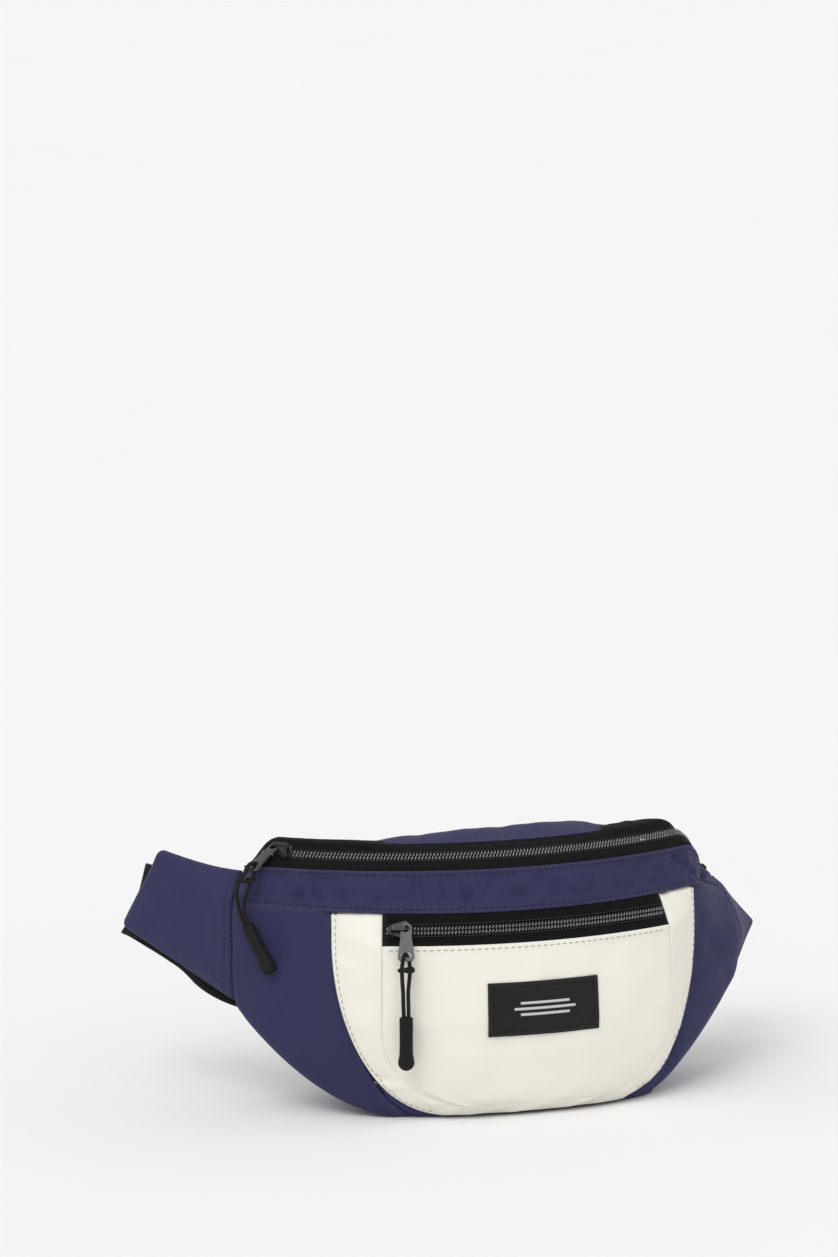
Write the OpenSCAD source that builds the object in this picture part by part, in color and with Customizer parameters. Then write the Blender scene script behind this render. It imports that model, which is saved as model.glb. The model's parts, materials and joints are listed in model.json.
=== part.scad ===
// Waist pack with a curved zipped main compartment, a bellows front pocket,
// padded side wings and a webbing belt with a side-release buckle.
// Units are millimetres. +X is the right-hand side as seen from the front,
// -Y is the front, +Z is up and the pack stands on z = 0.

/* [Plan curve] */
// X of the vertical axis that the front curve is drawn about
axis_x = 10; // [2:0.5:18]
// Y of the vertical axis that the front curve is drawn about
axis_y = 153; // [148:1:158]
// Angle of the left wing seam, in degrees from the centre plane
seam_left = 42.8; // [42:0.1:43.5]
// Angle of the right wing seam, in degrees from the centre plane
seam_right = 40.5; // [40:0.1:41.5]

/* [Main zip] */
// Radius of the closed main chain about the vertical axis
zip_r = 194; // [192:0.5:196]
// Height of the main chain
zip_z = 129.5; // [127:0.5:132]
// Slope of the main zip surface from level, in degrees
zip_tilt = 29; // [25:1:32]
// Angle at which the main slider rests
main_slider_th = -36; // [-36.5:0.5:-35]

/* [Front pocket] */
// Radius of the pocket chain about the vertical axis
pocket_zip_r = 211; // [210:0.5:212]
// Height of the pocket chain
pocket_zip_z = 96; // [95:0.5:97]
// Slope of the pocket zip surface from level, in degrees
pocket_zip_tilt = 62; // [58:1:66]
// Half angle of the pocket zip and of the pocket face
pocket_half = 20.8; // [20:0.1:21.5]
// Half angle of the cream gusset where it meets the front band
gusset_half = 28; // [27:0.1:29]
// Angle at which the pocket slider rests
pocket_slider_th = -18.6; // [-18.8:0.1:-17]

/* [Fabric] */
// Thickness of the outer cloth panels
cloth = 1.2; // [0.8:0.1:1.5]
// Thickness of the zip tape
tape = 0.6; // [0.4:0.1:0.8]
// Thickness of the foam in the back panel and the wings
foam = 3.5; // [2:0.5:4]

/* [Belt] */
// Width of the belt webbing
web_w = 38; // [36:1:38]
// Thickness of the belt webbing
web_t = 1.5; // [1.2:0.1:1.8]
// Y of the belt's centre line behind the back panel
belt_y = 25; // [24.5:0.5:27]
// Height of the belt's centre line behind the back panel
belt_z = 57; // [55:1:60]
// X of the mouth of the female buckle half
mouth_x = -24; // [-28:1:-18]

/* [Slider and pull] */
// Length of a slider body
slider_l = 10.4; // [9:0.2:11]
// Width of a slider body
slider_w = 9; // [8.4:0.2:9.4]
// Diameter of the pull cords
cord_d = 2; // [1.8:0.1:2.2]
// Length of the moulded pull tips
tip_l = 27; // [24:1:29]

/* [Hidden] */

navy = [0.16, 0.17, 0.30];
cream = [0.90, 0.87, 0.82];
black = [0.06, 0.06, 0.06];
mesh_black = [0.10, 0.10, 0.11];
foam_grey = [0.45, 0.45, 0.47];
gunmetal = [0.30, 0.30, 0.31];

gap = 0.2;              // seam gap left between neighbouring panels
seam_top_left = [190, 119.5];
seam_top_right = [186, 99];
level_left = -38;       // where the zip surface starts to fall towards the left wing seam
level_right = 27;       // where it starts to fall towards the right wing seam
base_half = 19;         // half angle of the flat part of the base
low_seam_z = 53;        // height of the foot of the wing seams

// ---------- small helpers ----------
function clamp01(t) = max(0, min(1, t));
function mix(a, b, t) = a + (b - a) * t;
function ease(a, b, x) = let (t = clamp01((x - a) / (b - a))) t * t * (3 - 2 * t);
function unit(v) = v / norm(v);
function cyl(th, r, z) = [axis_x + r * sin(th), axis_y - r * cos(th), z];
function steps(a, b, n) = [for (i = [0:n]) mix(a, b, i / n)];

// One point of a Catmull-Rom curve through the points p, at t in 0..len(p)-1
function curve(p, t) =
  let (n = len(p) - 1, i = min(floor(t), n - 1), f = t - i,
       b = p[i], c = p[i + 1],
       a = i > 0 ? p[i - 1] : 2 * b - c,
       d = i < n - 1 ? p[i + 2] : 2 * c - b)
  0.5 * (2 * b + (c - a) * f + (2 * a - 5 * b + 4 * c - d) * f * f + (3 * b - a - 3 * c + d) * f * f * f);

// A closed sheet between two equal grids of points
module slab(outer, inner) {
  n = len(outer);
  m = len(outer[0]);
  points = [for (g = [outer, inner]) for (row = g) for (p = row) p];
  function at(side, i, j) = (side * n + i) * m + j;
  function quad(a, b, c, d) = [[a, b, c], [a, c, d]];
  faces = [
    for (i = [0:n - 2]) for (j = [0:m - 2]) each
      concat(quad(at(0, i, j), at(0, i + 1, j), at(0, i + 1, j + 1), at(0, i, j + 1)),
             quad(at(1, i, j), at(1, i, j + 1), at(1, i + 1, j + 1), at(1, i + 1, j))),
    for (i = [0:n - 2]) each
      concat(quad(at(0, i + 1, 0), at(0, i, 0), at(1, i, 0), at(1, i + 1, 0)),
             quad(at(0, i, m - 1), at(0, i + 1, m - 1), at(1, i + 1, m - 1), at(1, i, m - 1))),
    for (j = [0:m - 2]) each
      concat(quad(at(0, 0, j), at(0, 0, j + 1), at(1, 0, j + 1), at(1, 0, j)),
             quad(at(0, n - 1, j + 1), at(0, n - 1, j), at(1, n - 1, j), at(1, n - 1, j + 1)))
  ];
  polyhedron(points = points, faces = faces, convexity = 6);
}

// Outward normal of the surface f(u, v), where u runs right and v runs down
function normal_at(f, u, v, du, dv) =
  unit(cross(f(u, v + dv) - f(u, v - dv), f(u + du, v) - f(u - du, v)));

// A panel of the surface f between depths d0 and d1 below it
module panel(f, us, vs, d0, d1) {
  outer = [for (u = us) [for (v = vs) f(u, v) - d0 * normal_at(f, u, v, 0.3, 0.02)]];
  inner = [for (u = us) [for (v = vs) f(u, v) - d1 * normal_at(f, u, v, 0.3, 0.02)]];
  slab(outer, inner);
}

// ---------- the body surface ----------
// Height of the lower edge of the body at an angle
function low_z(th) =
  let (a = abs(th), seam = th < 0 ? seam_left : seam_right, power = th < 0 ? 1.7 : 1.1)
  a < base_half ? 0 : low_seam_z * pow((a - base_half) / (seam - base_half), power);

// Distance from the axis to the foot and the top of the back panel
function back_low_r(th) = mix(138, 143.5, pow(th / 43, 2)) / cos(th);
function back_top_r(th) = mix(148, 133.5, pow(th / 43, 2)) / cos(th);

// How far an angle lies along the falling ends of the zip surface
function fall(th) = th < 0 ? ease(level_left, -seam_left, th) : ease(level_right, seam_right, th);

// Profile of the body at an angle: [distance from axis, height] from the back seam, over the
// zip, down the front and under the base to the back seam again
function profile(th) =
  let (w = fall(th), q = pow(th / 42, 2), top = th < 0 ? seam_top_left : seam_top_right,
       side = th < 0 ? 0 : 1, lo = low_z(th), ct = cos(zip_tilt), st = sin(zip_tilt),
       band_low = mix([206 - 3 * q, 104.3 + 1.2 * q], side == 0 ? [203, 104.5] : [194, 93.5], w))
  [
    mix([back_top_r(th), 127], top + [-7, -3], w),
    mix([mix(164, 174, q), mix(137.5, 131.5, min(1, pow(th / 24, 2)))], top + [-6, -1], w),
    mix([183, 133.8], top + [-5, 0], w),
    mix([zip_r - 5.5 * ct, zip_z + 5.5 * st], top + [-3.5, 0.6], w),
    mix([zip_r, zip_z], top + [-2, 0.9], w),
    mix([zip_r + 5.5 * ct, zip_z - 5.5 * st], top + [-0.8, 0.6], w),
    mix([201, 123.5], top, w),
    band_low,
    [mix(209, 204.5, q), mix(lo, band_low[1], 0.52)],
    [mix(212, 204.5, q), mix(lo + 13, lo + 9, min(1, q))],
    [mix(208, 202, q), lo],
    [back_low_r(th) + 1, lo]
  ];
// Profiles curve smoothly down to the lower edge and run straight across the base
function body(th, v) =
  let (q = profile(th), p = v > 10 ? mix(q[10], q[11], v - 10) : curve([for (i = [0:10]) q[i]], v))
  cyl(th, p[0], p[1]);

// The back panel, seen from behind, from its top edge (v = 0) to its foot (v = 1)
function back(u, v) =
  let (th = -u, p = profile(th), a = p[0], b = p[11], bulge = 3 * sin(180 * v) * cos(2 * th))
  cyl(th, mix(a[0], b[0], v) - 1.5 - bulge, mix(a[1], b[1] + 0.8, v));

span = concat([gap - seam_left], steps(-40, -28, 4), steps(-24, 24, 8), steps(28, 38, 4),
  [seam_right - gap]);
span_behind = [for (i = [len(span) - 1:-1:0]) -span[i]];

module back_panel() {
  color(mesh_black) panel(function (u, v) back(u, v), span_behind, steps(0.04, 0.995, 6), 0, cloth);
}
module back_foam() {
  color(foam_grey)
    panel(function (u, v) back(u, v), [for (u = span_behind) if (abs(u) < 36) u], steps(0.12, 0.9, 5),
          cloth + gap, cloth + gap + foam);
}
module body_panel(colour, us, v0, v1, nv) {
  color(colour) panel(function (u, v) body(u, v), us, steps(v0, v1, nv), 0, cloth);
}
module top_rear_panel() { body_panel(navy, span, 0.06, 1.97, 5); }
module front_band() { body_panel(navy, span, 6.04, 6.95, 2); }
module bottom_panel() { body_panel(navy, span, 10.12, 10.98, 2); }

// ---------- the pocket's seams ----------
// Angle of the gusset's outer seam at a height
function gusset_th(z) =
  z >= 91 ? gusset_half : 12 + (gusset_half - 12) * sqrt(1 - pow((91 - max(z, 0)) / 91, 2));
// Angle of the face's seam at a height
function face_th(z) =
  z >= 45 ? pocket_half : 8 + (pocket_half - 8) * sqrt(1 - pow((45 - max(z, 7)) / 38, 2));

// Part of the body front on one side of the gusset seam: u = 0 at the centre plane or wing seam
function divider(u, v) =
  let (s = u < 0 ? -1 : 1, z = curve(profile(s * 24), v)[1]) body(u * (gusset_th(z) - 0.3), v);
function side_panel(s, u, v) =
  let (z = curve(profile(s * 24), v)[1], seam = s < 0 ? -seam_left + gap : seam_right - gap,
       edge = s * (gusset_th(z) + 0.3))
  body(s < 0 ? mix(seam, edge, u) : mix(edge, seam, u), v);

module side_panel_left() {
  color(navy) panel(function (u, v) side_panel(-1, u, v), steps(0, 1, 6), steps(7.05, 9.94, 9), 0, cloth);
}
module side_panel_right() {
  color(navy) panel(function (u, v) side_panel(1, u, v), steps(0, 1, 6), steps(7.05, 9.94, 9), 0, cloth);
}
module pocket_divider() {
  color(navy) panel(function (u, v) divider(u, v), steps(-1, 1, 12), steps(7.05, 9.94, 7), 0, cloth);
}

// Distance of the body front from the axis at an angle and height
function body_r(th, z) =
  let (q = pow(th / 42, 2))
  z > 57 ? mix(209 - 4.5 * q, 206 - 3 * q, (z - 57) / 47) :
  z > 13 ? mix(212 - 7.5 * q, 209 - 4.5 * q, (z - 13) / 44) :
  mix(208 - 6 * q, 212 - 7.5 * q, z / 13);

// The gusset's two seams along w = -1 (top left), 0 (middle of the foot), 1 (top right)
function outer_seam(w) =
  let (a = abs(w), t = 90 * (a - 0.2) / 0.65)
  a < 0.2 ? [w / 0.2 * 12, 0.9] :
  a < 0.85 ? [sign(w) * (12 + (gusset_half - 12) * sin(t)), 0.9 + 90.1 * (1 - cos(t))] :
  [sign(w) * gusset_half, mix(91, 103.5, (a - 0.85) / 0.15)];
function face_seam(w) =
  let (a = abs(w), t = 90 * (a - 0.2) / 0.4)
  a < 0.2 ? [w / 0.2 * 8, 7] :
  a < 0.6 ? [sign(w) * (8 + (pocket_half - 8) * sin(t)), 7 + 38 * (1 - cos(t))] :
  [sign(w) * pocket_half, mix(45, 103, (a - 0.6) / 0.4)];
function face_edge_r(z) =
  z > 88 ? pocket_zip_r + (pocket_zip_z - z) / tan(pocket_zip_tilt) :
  z > 50 ? mix(218.5, 215.2, (z - 50) / 38) : 218.5 - 1.5 * (50 - z) / 43;
function gusset(w, t) =
  let (f = face_seam(w), o = outer_seam(w),
       a = cyl(f[0], face_edge_r(f[1]), f[1]), b = cyl(o[0], body_r(o[0], o[1]) + 1.6, o[1]),
       m = cyl((f[0] + o[0]) / 2, (face_edge_r(f[1]) + body_r(o[0], o[1])) / 2 + 1, (f[1] + o[1]) / 2))
  mix(a, b, t) + (m - (a + b) / 2) * sin(180 * t) * 1.2;

// The pocket face, a = -1..1 across and b = 0..1 down
function face(a, b) =
  let (z = mix(88, 7, b), th = a * face_th(z))
  cyl(th, face_edge_r(z) + 3.4 * (1 - a * a) * min(1, 0.25 + 3 * b) * min(1, 3 * (1 - b)), z);

module pocket_gusset() {
  color(cream)
    panel(function (w, t) gusset(w, t), concat([-0.995], steps(-0.92, 0.92, 32), [0.995]),
          [0.06, 0.35, 0.65, 0.97], 0, 1);
}
module pocket_panel() {
  color(cream) panel(function (a, b) face(a, b), steps(-0.965, 0.965, 14), steps(0.012, 0.985, 12), 0, 1);
}
module label() {
  color(black) panel(function (a, b) face(a, b), steps(-0.34, 0.39, 6), steps(0.22, 0.55, 4), -1.1, -0.3);
}

// ---------- zips ----------
function pocket_zip(th, t) =
  cyl(th, pocket_zip_r + t * cos(pocket_zip_tilt), pocket_zip_z - t * sin(pocket_zip_tilt));

module main_tape(v0, v1) {
  color(black) panel(function (u, v) body(u, v), [for (u = span) if (u > -41 && u < 39) u],
                     steps(v0, v1, 2), -tape / 2, tape / 2);
}
module main_zip_tape_rear() { main_tape(2.06, 3.48); }
module main_zip_tape_front() { main_tape(4.52, 5.92); }
module pocket_tape(t0, t1) {
  color(black) panel(function (u, v) pocket_zip(u, v), steps(-20.3, 20.3, 14), [t0, t1], -tape / 2, tape / 2);
}
module pocket_zip_tape_upper() { pocket_tape(-8, -2.8); }
module pocket_zip_tape_lower() { pocket_tape(2.8, 7.4); }

// A closed tube whose rings are ovals with half axes a[i] and b[i]
module tube(centres, a, b, sides) {
  n = len(centres);
  points = [for (i = [0:n - 1]) for (k = [0:sides - 1])
    centres[i] + a[i] * cos(360 * k / sides) + b[i] * sin(360 * k / sides)];
  faces = concat(
    [[for (k = [sides - 1:-1:0]) k]],
    [for (i = [0:n - 2]) for (k = [0:sides - 1]) each
      let (p = i * sides + k, q = i * sides + (k + 1) % sides)
      [[p, q, q + sides], [p, q + sides, p + sides]]],
    [[for (k = [0:sides - 1]) (n - 1) * sides + k]]);
  polyhedron(points = points, faces = faces, convexity = 6);
}

coil_offset = 1.55;     // from the middle of a chain to the middle of one coil
coil_ra = 1.1;
coil_rb = 1;
half_tape = 5.5;        // spacing of the profile's points on either side of the main chain
module main_coil(s) {
  ths = steps(-39, 36, 30);
  across = [for (th = ths) (body(th, 4.5) - body(th, 3.5)) / half_tape];
  up = [for (i = [0:len(ths) - 1])
    norm(across[i]) * coil_rb * normal_at(function (u, v) body(u, v), ths[i], 4, 0.3, 0.02)];
  color(black)
    tube([for (i = [0:len(ths) - 1]) body(ths[i], 4) + across[i] * s * coil_offset], across * coil_ra, up, 8);
}
module main_zip_coil_rear() { main_coil(-1); }
module main_zip_coil_front() { main_coil(1); }
module pocket_coil(s) {
  ths = steps(-20.2, 20.2, 16);
  across = [for (th = ths) unit(pocket_zip(th, 1) - pocket_zip(th, 0))];
  up = [for (i = [0:len(ths) - 1]) unit(cross(across[i], [cos(ths[i]), sin(ths[i]), 0]))];
  color(black)
    tube([for (i = [0:len(ths) - 1]) pocket_zip(ths[i], s * coil_offset)], across * coil_ra, up * coil_rb, 8);
}
module pocket_zip_coil_upper() { pocket_coil(-1); }
module pocket_zip_coil_lower() { pocket_coil(1); }

// ---------- wings ----------
// End edges of the wings: [angle, distance from axis, height] of the top and the foot
left_end = [[-55, 200, 125.5], [-61.4, 203, 82.7]];
right_end = [[53.6, 168, 90], [58.1, 187.8, 62]];
function at(p) = cyl(p[0], p[1], p[2]);
// Wing surface: u from the seam to the end, v from the top to the foot
function wing_at(s, u, v) =
  let (seam = s < 0 ? -seam_left - gap : seam_right + gap, end = s < 0 ? left_end : right_end,
       a = body(seam, mix(6, 10, v)), b = mix(at(end[0]), at(end[1]), v))
  mix(a, b, u);
function wing(s, u, v) = wing_at(s, s < 0 ? 1 - u : u, v);
module wing_layer(s, colour, d0, d1, inset) {
  color(colour)
    panel(function (u, v) wing(s, u, v),
          steps(inset, 1 - inset, 5), steps(0.01 + inset / 2, 0.99 - inset / 2, 6),
          d0, d1);
}
wing_foam = 2.2;
wing_gap = 0.5;
wing_back = cloth + 2 * wing_gap + wing_foam;
module wing_left_outer() { wing_layer(-1, navy, 0, cloth, 0); }
module wing_left_foam() { wing_layer(-1, foam_grey, cloth + wing_gap, wing_back - wing_gap, 0.08); }
module wing_left_inner() { wing_layer(-1, mesh_black, wing_back, wing_back + cloth, 0); }
module wing_right_outer() { wing_layer(1, navy, 0, cloth, 0); }
module wing_right_foam() { wing_layer(1, foam_grey, cloth + wing_gap, wing_back - wing_gap, 0.08); }
module wing_right_inner() { wing_layer(1, mesh_black, wing_back, wing_back + cloth, 0); }

// ---------- belt ----------
female_l = 34;          // female shell along the belt
bar_r = 1.5;            // radius of every bar the webbing turns round
turn = bar_r + 0.3 + web_t / 2;
left_bar_x = mouth_x - 44;
right_bar_x = mouth_x + 10;
tail_end_x = 94;
keeper_x = 46;
keeper_w = 9;

// The half turn round the bar at x, coming in at the front and leaving at the back
function round_bar(x, side) =
  [for (t = [-90:45:90]) [x + side * turn * cos(t), belt_y + turn * sin(t), belt_z, 0]];
// Belt centre line points: [x, y, z, lean of the webbing's width from upright in degrees]
left_route = concat([
  [-152.5, 54.5, 95, -15], [-156.5, 59.5, 95.6, -17], [-158.5, 64.5, 95.6, -17], [-156, 68, 94, -16],
  [-149.5, 61, 89.5, -12], [-139.5, 46, 82, -5], [-130, 32, 73, 0], [-116, 25, 65, 0],
  [-98, 23, 60, 0], [-83, 22.5, 57, 0], [left_bar_x - 6, belt_y - turn, belt_z, 0]],
  round_bar(left_bar_x, 1), [
  [left_bar_x - 8, belt_y + turn - 1, belt_z, 0],
  [left_bar_x - 22, belt_y - turn + web_t + 0.3, belt_z, 0]
]);
right_route = concat([
  [148, 51, 72.6, 41], [152.6, 59.5, 73.2, 41], [151, 64, 74, 40], [147, 63, 73.5, 38],
  [142, 54, 72, 34], [136, 43, 69, 28], [129, 33, 65, 20], [119, 26, 61, 10],
  [107, 23, 58, 3], [96, 22.55, 57, 0],
  [42, belt_y - turn, belt_z, 0], [right_bar_x + 6, belt_y - turn, belt_z, 0]],
  round_bar(right_bar_x, -1), [
  [right_bar_x + 14, belt_y + turn, belt_z, 0],
  [right_bar_x + 24, belt_y - turn + web_t + 0.9, belt_z, 0],
  [42, belt_y - turn + web_t + 0.4, belt_z, 0],
  [tail_end_x, belt_y - turn + web_t + 0.4, belt_z, 0]
]);
function place(p) = [p[0], p[1], p[2]];
function width_dir(p, run) =
  let (w = [-sin(p[3]), 0, cos(p[3])]) unit(w - run * (w * run));

// Flat webbing swept along a route, its width across the run
module webbing(route, per) {
  n = len(route) - 1;
  ts = steps(0, n, n * per);
  pts = [for (t = ts) curve(route, t)];
  runs = [for (t = ts) unit(place(curve(route, min(n, t + 0.05))) - place(curve(route, max(0, t - 0.05))))];
  ws = [for (i = [0:len(ts) - 1]) width_dir(pts[i], runs[i])];
  ns = [for (i = [0:len(ts) - 1]) cross(runs[i], ws[i])];
  function edge(i, s, side) = place(pts[i]) + ws[i] * s * web_w / 2 + ns[i] * side * web_t / 2;
  color(black)
    slab([for (i = [0:len(ts) - 1]) [edge(i, 1, 1), edge(i, -1, 1)]],
         [for (i = [0:len(ts) - 1]) [edge(i, 1, -1), edge(i, -1, -1)]]);
}
module strap_left() { webbing(left_route, 3); }
module strap_right() { webbing(right_route, 3); }
module strap_keeper() {
  color(black)
    translate([keeper_x, belt_y - turn + web_t / 2 + 0.2, belt_z])
      rotate([0, 90, 0])
        linear_extrude(height = keeper_w, center = true)
          difference() {
            square([web_w + 5, 7.6], center = true);
            square([web_w + 1.4, 5], center = true);
          }
}

// ---------- buckle, built about the mouth with the belt along X ----------
shell_z = 46;
shell_y = 12;
cavity_z = 38;
cavity_y = 7.4;
arm_pivot_z = 12.5;
module at_mouth() { translate([mouth_x, belt_y, belt_z]) children(); }
module rounded_plate(x0, x1, wide, thick, r) {
  translate([(x0 + x1) / 2, 0, 0]) rotate([90, 0, 0])
    linear_extrude(height = thick, center = true)
      hull() for (sx = [-1, 1], sz = [-1, 1])
        translate([sx * ((x1 - x0) / 2 - r), sz * (wide / 2 - r)]) circle(r = r, $fn = 32);
}
module block(x0, x1, wide, thick) {
  translate([x0, -thick / 2, -wide / 2]) cube([x1 - x0, thick, wide]);
}
module bar(x) { translate([x, 0, 0]) cylinder(r = bar_r, h = web_w + 4, center = true, $fn = 32); }
module buckle_female() {
  color(black) at_mouth() {
    difference() {
      rounded_plate(-female_l, 0, shell_z, shell_y, 5);
      block(-29, 1, cavity_z, cavity_y);
      block(-24, -9, shell_z + 2, cavity_y);
    }
    difference() {
      rounded_plate(-47, -33.5, shell_z, 8, 4);
      block(-44 + bar_r, -35.5, web_w + 2, 10);
      block(-48, -44 + bar_r + 0.1, web_w + 2, 10);
    }
    translate([-44, 0, 0]) cylinder(r = bar_r, h = web_w + 3, center = true, $fn = 32);
  }
}
module buckle_male() {
  color(black) at_mouth() {
    difference() {
      rounded_plate(0.4, 24, shell_z, 9, 5);
      block(4.5, 25, web_w + 2, 10);
      for (s = [-1, 1]) translate([-1, 0, s * arm_pivot_z]) rotate([90, 0, 0])
        cylinder(r = 3, h = 12, center = true, $fn = 48);
    }
    bar(10);
    bar(21);
    block(-26, 1, 5, 5);
  }
}
module latch_arm(s) {
  color(black) at_mouth()
    rotate([90, 0, 0]) linear_extrude(height = 6, center = true) {
      hull() {
        translate([-1, s * arm_pivot_z]) circle(r = 2.6, $fn = 32);
        translate([-10, s * 14.5]) circle(r = 1.8, $fn = 32);
      }
      hull() {
        translate([-10, s * 14.5]) circle(r = 1.8, $fn = 32);
        translate([-12, s * 20]) circle(r = 1.6, $fn = 32);
        translate([-20, s * 18.5]) circle(r = 1.6, $fn = 32);
        translate([-25, s * 13.5]) circle(r = 1.6, $fn = 32);
      }
    }
}
module latch_arm_upper() { latch_arm(1); }
module latch_arm_lower() { latch_arm(-1); }

// ---------- sliders and pulls ----------
// Frame on a chain: x along it, y back up the tape, z out of it
module on_chain(th, r, z, tilt) {
  translate([axis_x, axis_y, 0]) rotate([0, 0, th]) translate([0, -r, z]) rotate([tilt, 0, 0]) children();
}
plate_z = 1.35;         // inside face of a slider plate above the chain's middle
plate_t = 0.95;
crown_top = 6.8;
crown_bar = 1;
crown_half = 4.2;
module slider_plan() {
  hull() {
    translate([-slider_l / 2 + 2.6, 0]) circle(r = 2.6, $fn = 32);
    translate([slider_l / 2 - 2.2, slider_w / 2 - 2.2]) circle(r = 2.2, $fn = 32);
    translate([slider_l / 2 - 2.2, 2.2 - slider_w / 2]) circle(r = 2.2, $fn = 32);
  }
}
module slider_body() {
  for (z0 = [plate_z, -plate_z - plate_t])
    translate([0, 0, z0]) linear_extrude(height = plate_t) slider_plan();
  translate([slider_l / 2 - 4, -0.2, -plate_z - 0.5]) cube([3.2, 0.4, 2 * plate_z + 1]);
}
module crown(top) {
  rotate([90, 0, 0]) linear_extrude(height = 2.2, center = true) difference() {
    hull() {
      translate([-crown_half, plate_z + plate_t - 0.3]) square([2 * crown_half, 0.3]);
      translate([-crown_half + 1.4, top - 1.4]) circle(r = 1.4, $fn = 32);
      translate([crown_half - 1.4, top - 1.4]) circle(r = 1.4, $fn = 32);
    }
    translate([-crown_half + crown_bar, plate_z + plate_t])
      square([2 * (crown_half - crown_bar), top - plate_z - plate_t - crown_bar]);
  }
}
module main_slider() {
  color(gunmetal) on_chain(main_slider_th, zip_r, zip_z, zip_tilt) {
    slider_body();
    crown(crown_top);
  }
}
module pocket_slider() {
  color(gunmetal) on_chain(pocket_slider_th, pocket_zip_r, pocket_zip_z, pocket_zip_tilt) {
    slider_body();
    crown(5.6);
  }
}

// A pull tab lying along -X from its pivot, flat across Y, with a cord eye near its end
tab_l = 17.5;
tab_t = 1.3;
eye_x = tab_l - 1.9;    // middle of the eye's end bar
module tab_plan() {
  difference() {
    hull() {
      translate([-5.2, -2.7]) square([1, 5.4]);
      translate([-tab_l + 3, 2.2]) circle(r = 2, $fn = 32);
      translate([-tab_l + 3, -2.2]) circle(r = 2, $fn = 32);
      translate([-tab_l + 1, -3]) square([1, 6]);
    }
    hull() {
      translate([-eye_x + 1, -2.5]) square([0.6, 5]);
      translate([-eye_x + 2.6, 1]) circle(r = 1.5, $fn = 32);
      translate([-eye_x + 2.6, -1]) circle(r = 1.5, $fn = 32);
    }
  }
}
// Head of a pull tab: a ring threaded on one leg of the crown
module pull_tab() {
  translate([0, 0, -tab_t / 2]) linear_extrude(height = tab_t) {
    tab_plan();
    difference() {
      hull() {
        circle(r = 2.9, $fn = 32);
        translate([-5.2, -2.7]) square([1, 5.4]);
      }
      circle(r = 1.75, $fn = 48);
    }
  }
}
main_yaw = 50;
main_droop = 36;
leg_x = crown_half - crown_bar / 2;
leg_z = 3.9;            // height of a tab's head on the crown's leg
module main_pull_frame() {
  on_chain(main_slider_th, zip_r, zip_z, zip_tilt) translate([-leg_x, 0, leg_z])
    rotate([-zip_tilt, 0, 0]) rotate([0, 0, main_yaw]) rotate([0, -main_droop, 0]) children();
}
module pocket_pull_frame() {
  on_chain(pocket_slider_th, pocket_zip_r, pocket_zip_z, pocket_zip_tilt)
    translate([leg_x, 0, 3.6]) rotate([0, 0, 90]) children();
}
module main_pull_tab() { color(gunmetal) main_pull_frame() pull_tab(); }
module pocket_pull_tab() { color(gunmetal) pocket_pull_frame() pull_tab(); }

// Cord loops through the tab eyes. Each route is in a frame at the middle of the eye's end
// bar: x along the chain, y towards the back of the pack, z up.
main_route = [
  [-2, -4.5, -28.5], [-4.1, -4.4, -24.3], [-6.2, -4, -17], [-6.7, -3.7, -10.6], [-5, -3.4, -5.2],
  [-2.3, -2.6, -1.4], [-0.9, -1, 2], [1.2, 1.4, 2.1], [1.6, 1.9, -0.8], [0.9, 0.6, -3.4],
  [-0.6, -1.8, -8.4], [-2.3, -3.4, -14.4], [-2.9, -4, -19], [-2, -4.4, -23.3], [0, -4.5, -27.4]
];
pocket_route = [
  [-1.2, -5.2, -27.8], [-1.4, -5, -22], [-1.6, -4.5, -15], [-2, -3.9, -9], [-2.1, -3.1, -3.6],
  [-1.5, -2.3, 0.4], [-1, -0.4, 2.5], [0, 1.4, 2.1], [1, 2.4, 0], [1.7, 1.4, -2.8],
  [1.9, -1, -5.4], [1.5, -3.1, -10], [1, -4.4, -15.5], [1.1, -5, -22], [1.2, -5.2, -27.8]
];
module cord_loop(route) {
  n = len(route) - 1;
  ts = steps(0, n, n * 2);
  pts = [for (t = ts) curve(route, t)];
  runs = [for (t = ts) unit(curve(route, min(n, t + 0.05)) - curve(route, max(0, t - 0.05)))];
  a = [for (r = runs) unit(cross(r, [0.2, 1, 0.1]))];
  b = [for (i = [0:len(ts) - 1]) cross(runs[i], a[i])];
  color(black) tube(pts, a * cord_d / 2, b * cord_d / 2, 8);
}
// Moulded tip with its mouth at the origin, hanging along -Z
tip_r = 3.3;
tip_end_r = 4;
module pull_tip() {
  neck = tip_l - 9;
  color(black) rotate_extrude($fn = 48) polygon(concat(
    [[0, 0], [0, -tip_l]],
    [for (t = [75:-15:0]) [tip_end_r * cos(t), -(tip_l - tip_end_r) - tip_end_r * sin(t)]],
    [[tip_r, -neck], [tip_r, -0.4], [tip_r - 0.3, 0]]));
}
main_mouth = [-0.9, -4.5, -28.2];
main_tip_lean = 28;
pocket_mouth = [0, -5.2, -28];
module main_hang() {
  main_pull_frame()
    translate([-eye_x, 0, 0]) rotate([0, main_droop, 0]) rotate([0, 0, -main_yaw]) children();
}
module pocket_hang() {
  pocket_pull_frame()
    translate([-eye_x, 0, 0]) rotate([0, 0, -90]) rotate([-pocket_zip_tilt, 0, 0]) children();
}
module main_pull_cord() { main_hang() cord_loop(main_route); }
module main_pull_tip() { main_hang() translate(main_mouth) rotate([0, -main_tip_lean, 0]) pull_tip(); }
module pocket_pull_cord() { pocket_hang() cord_loop(pocket_route); }
module pocket_pull_tip() { pocket_hang() translate(pocket_mouth) pull_tip(); }

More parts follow.
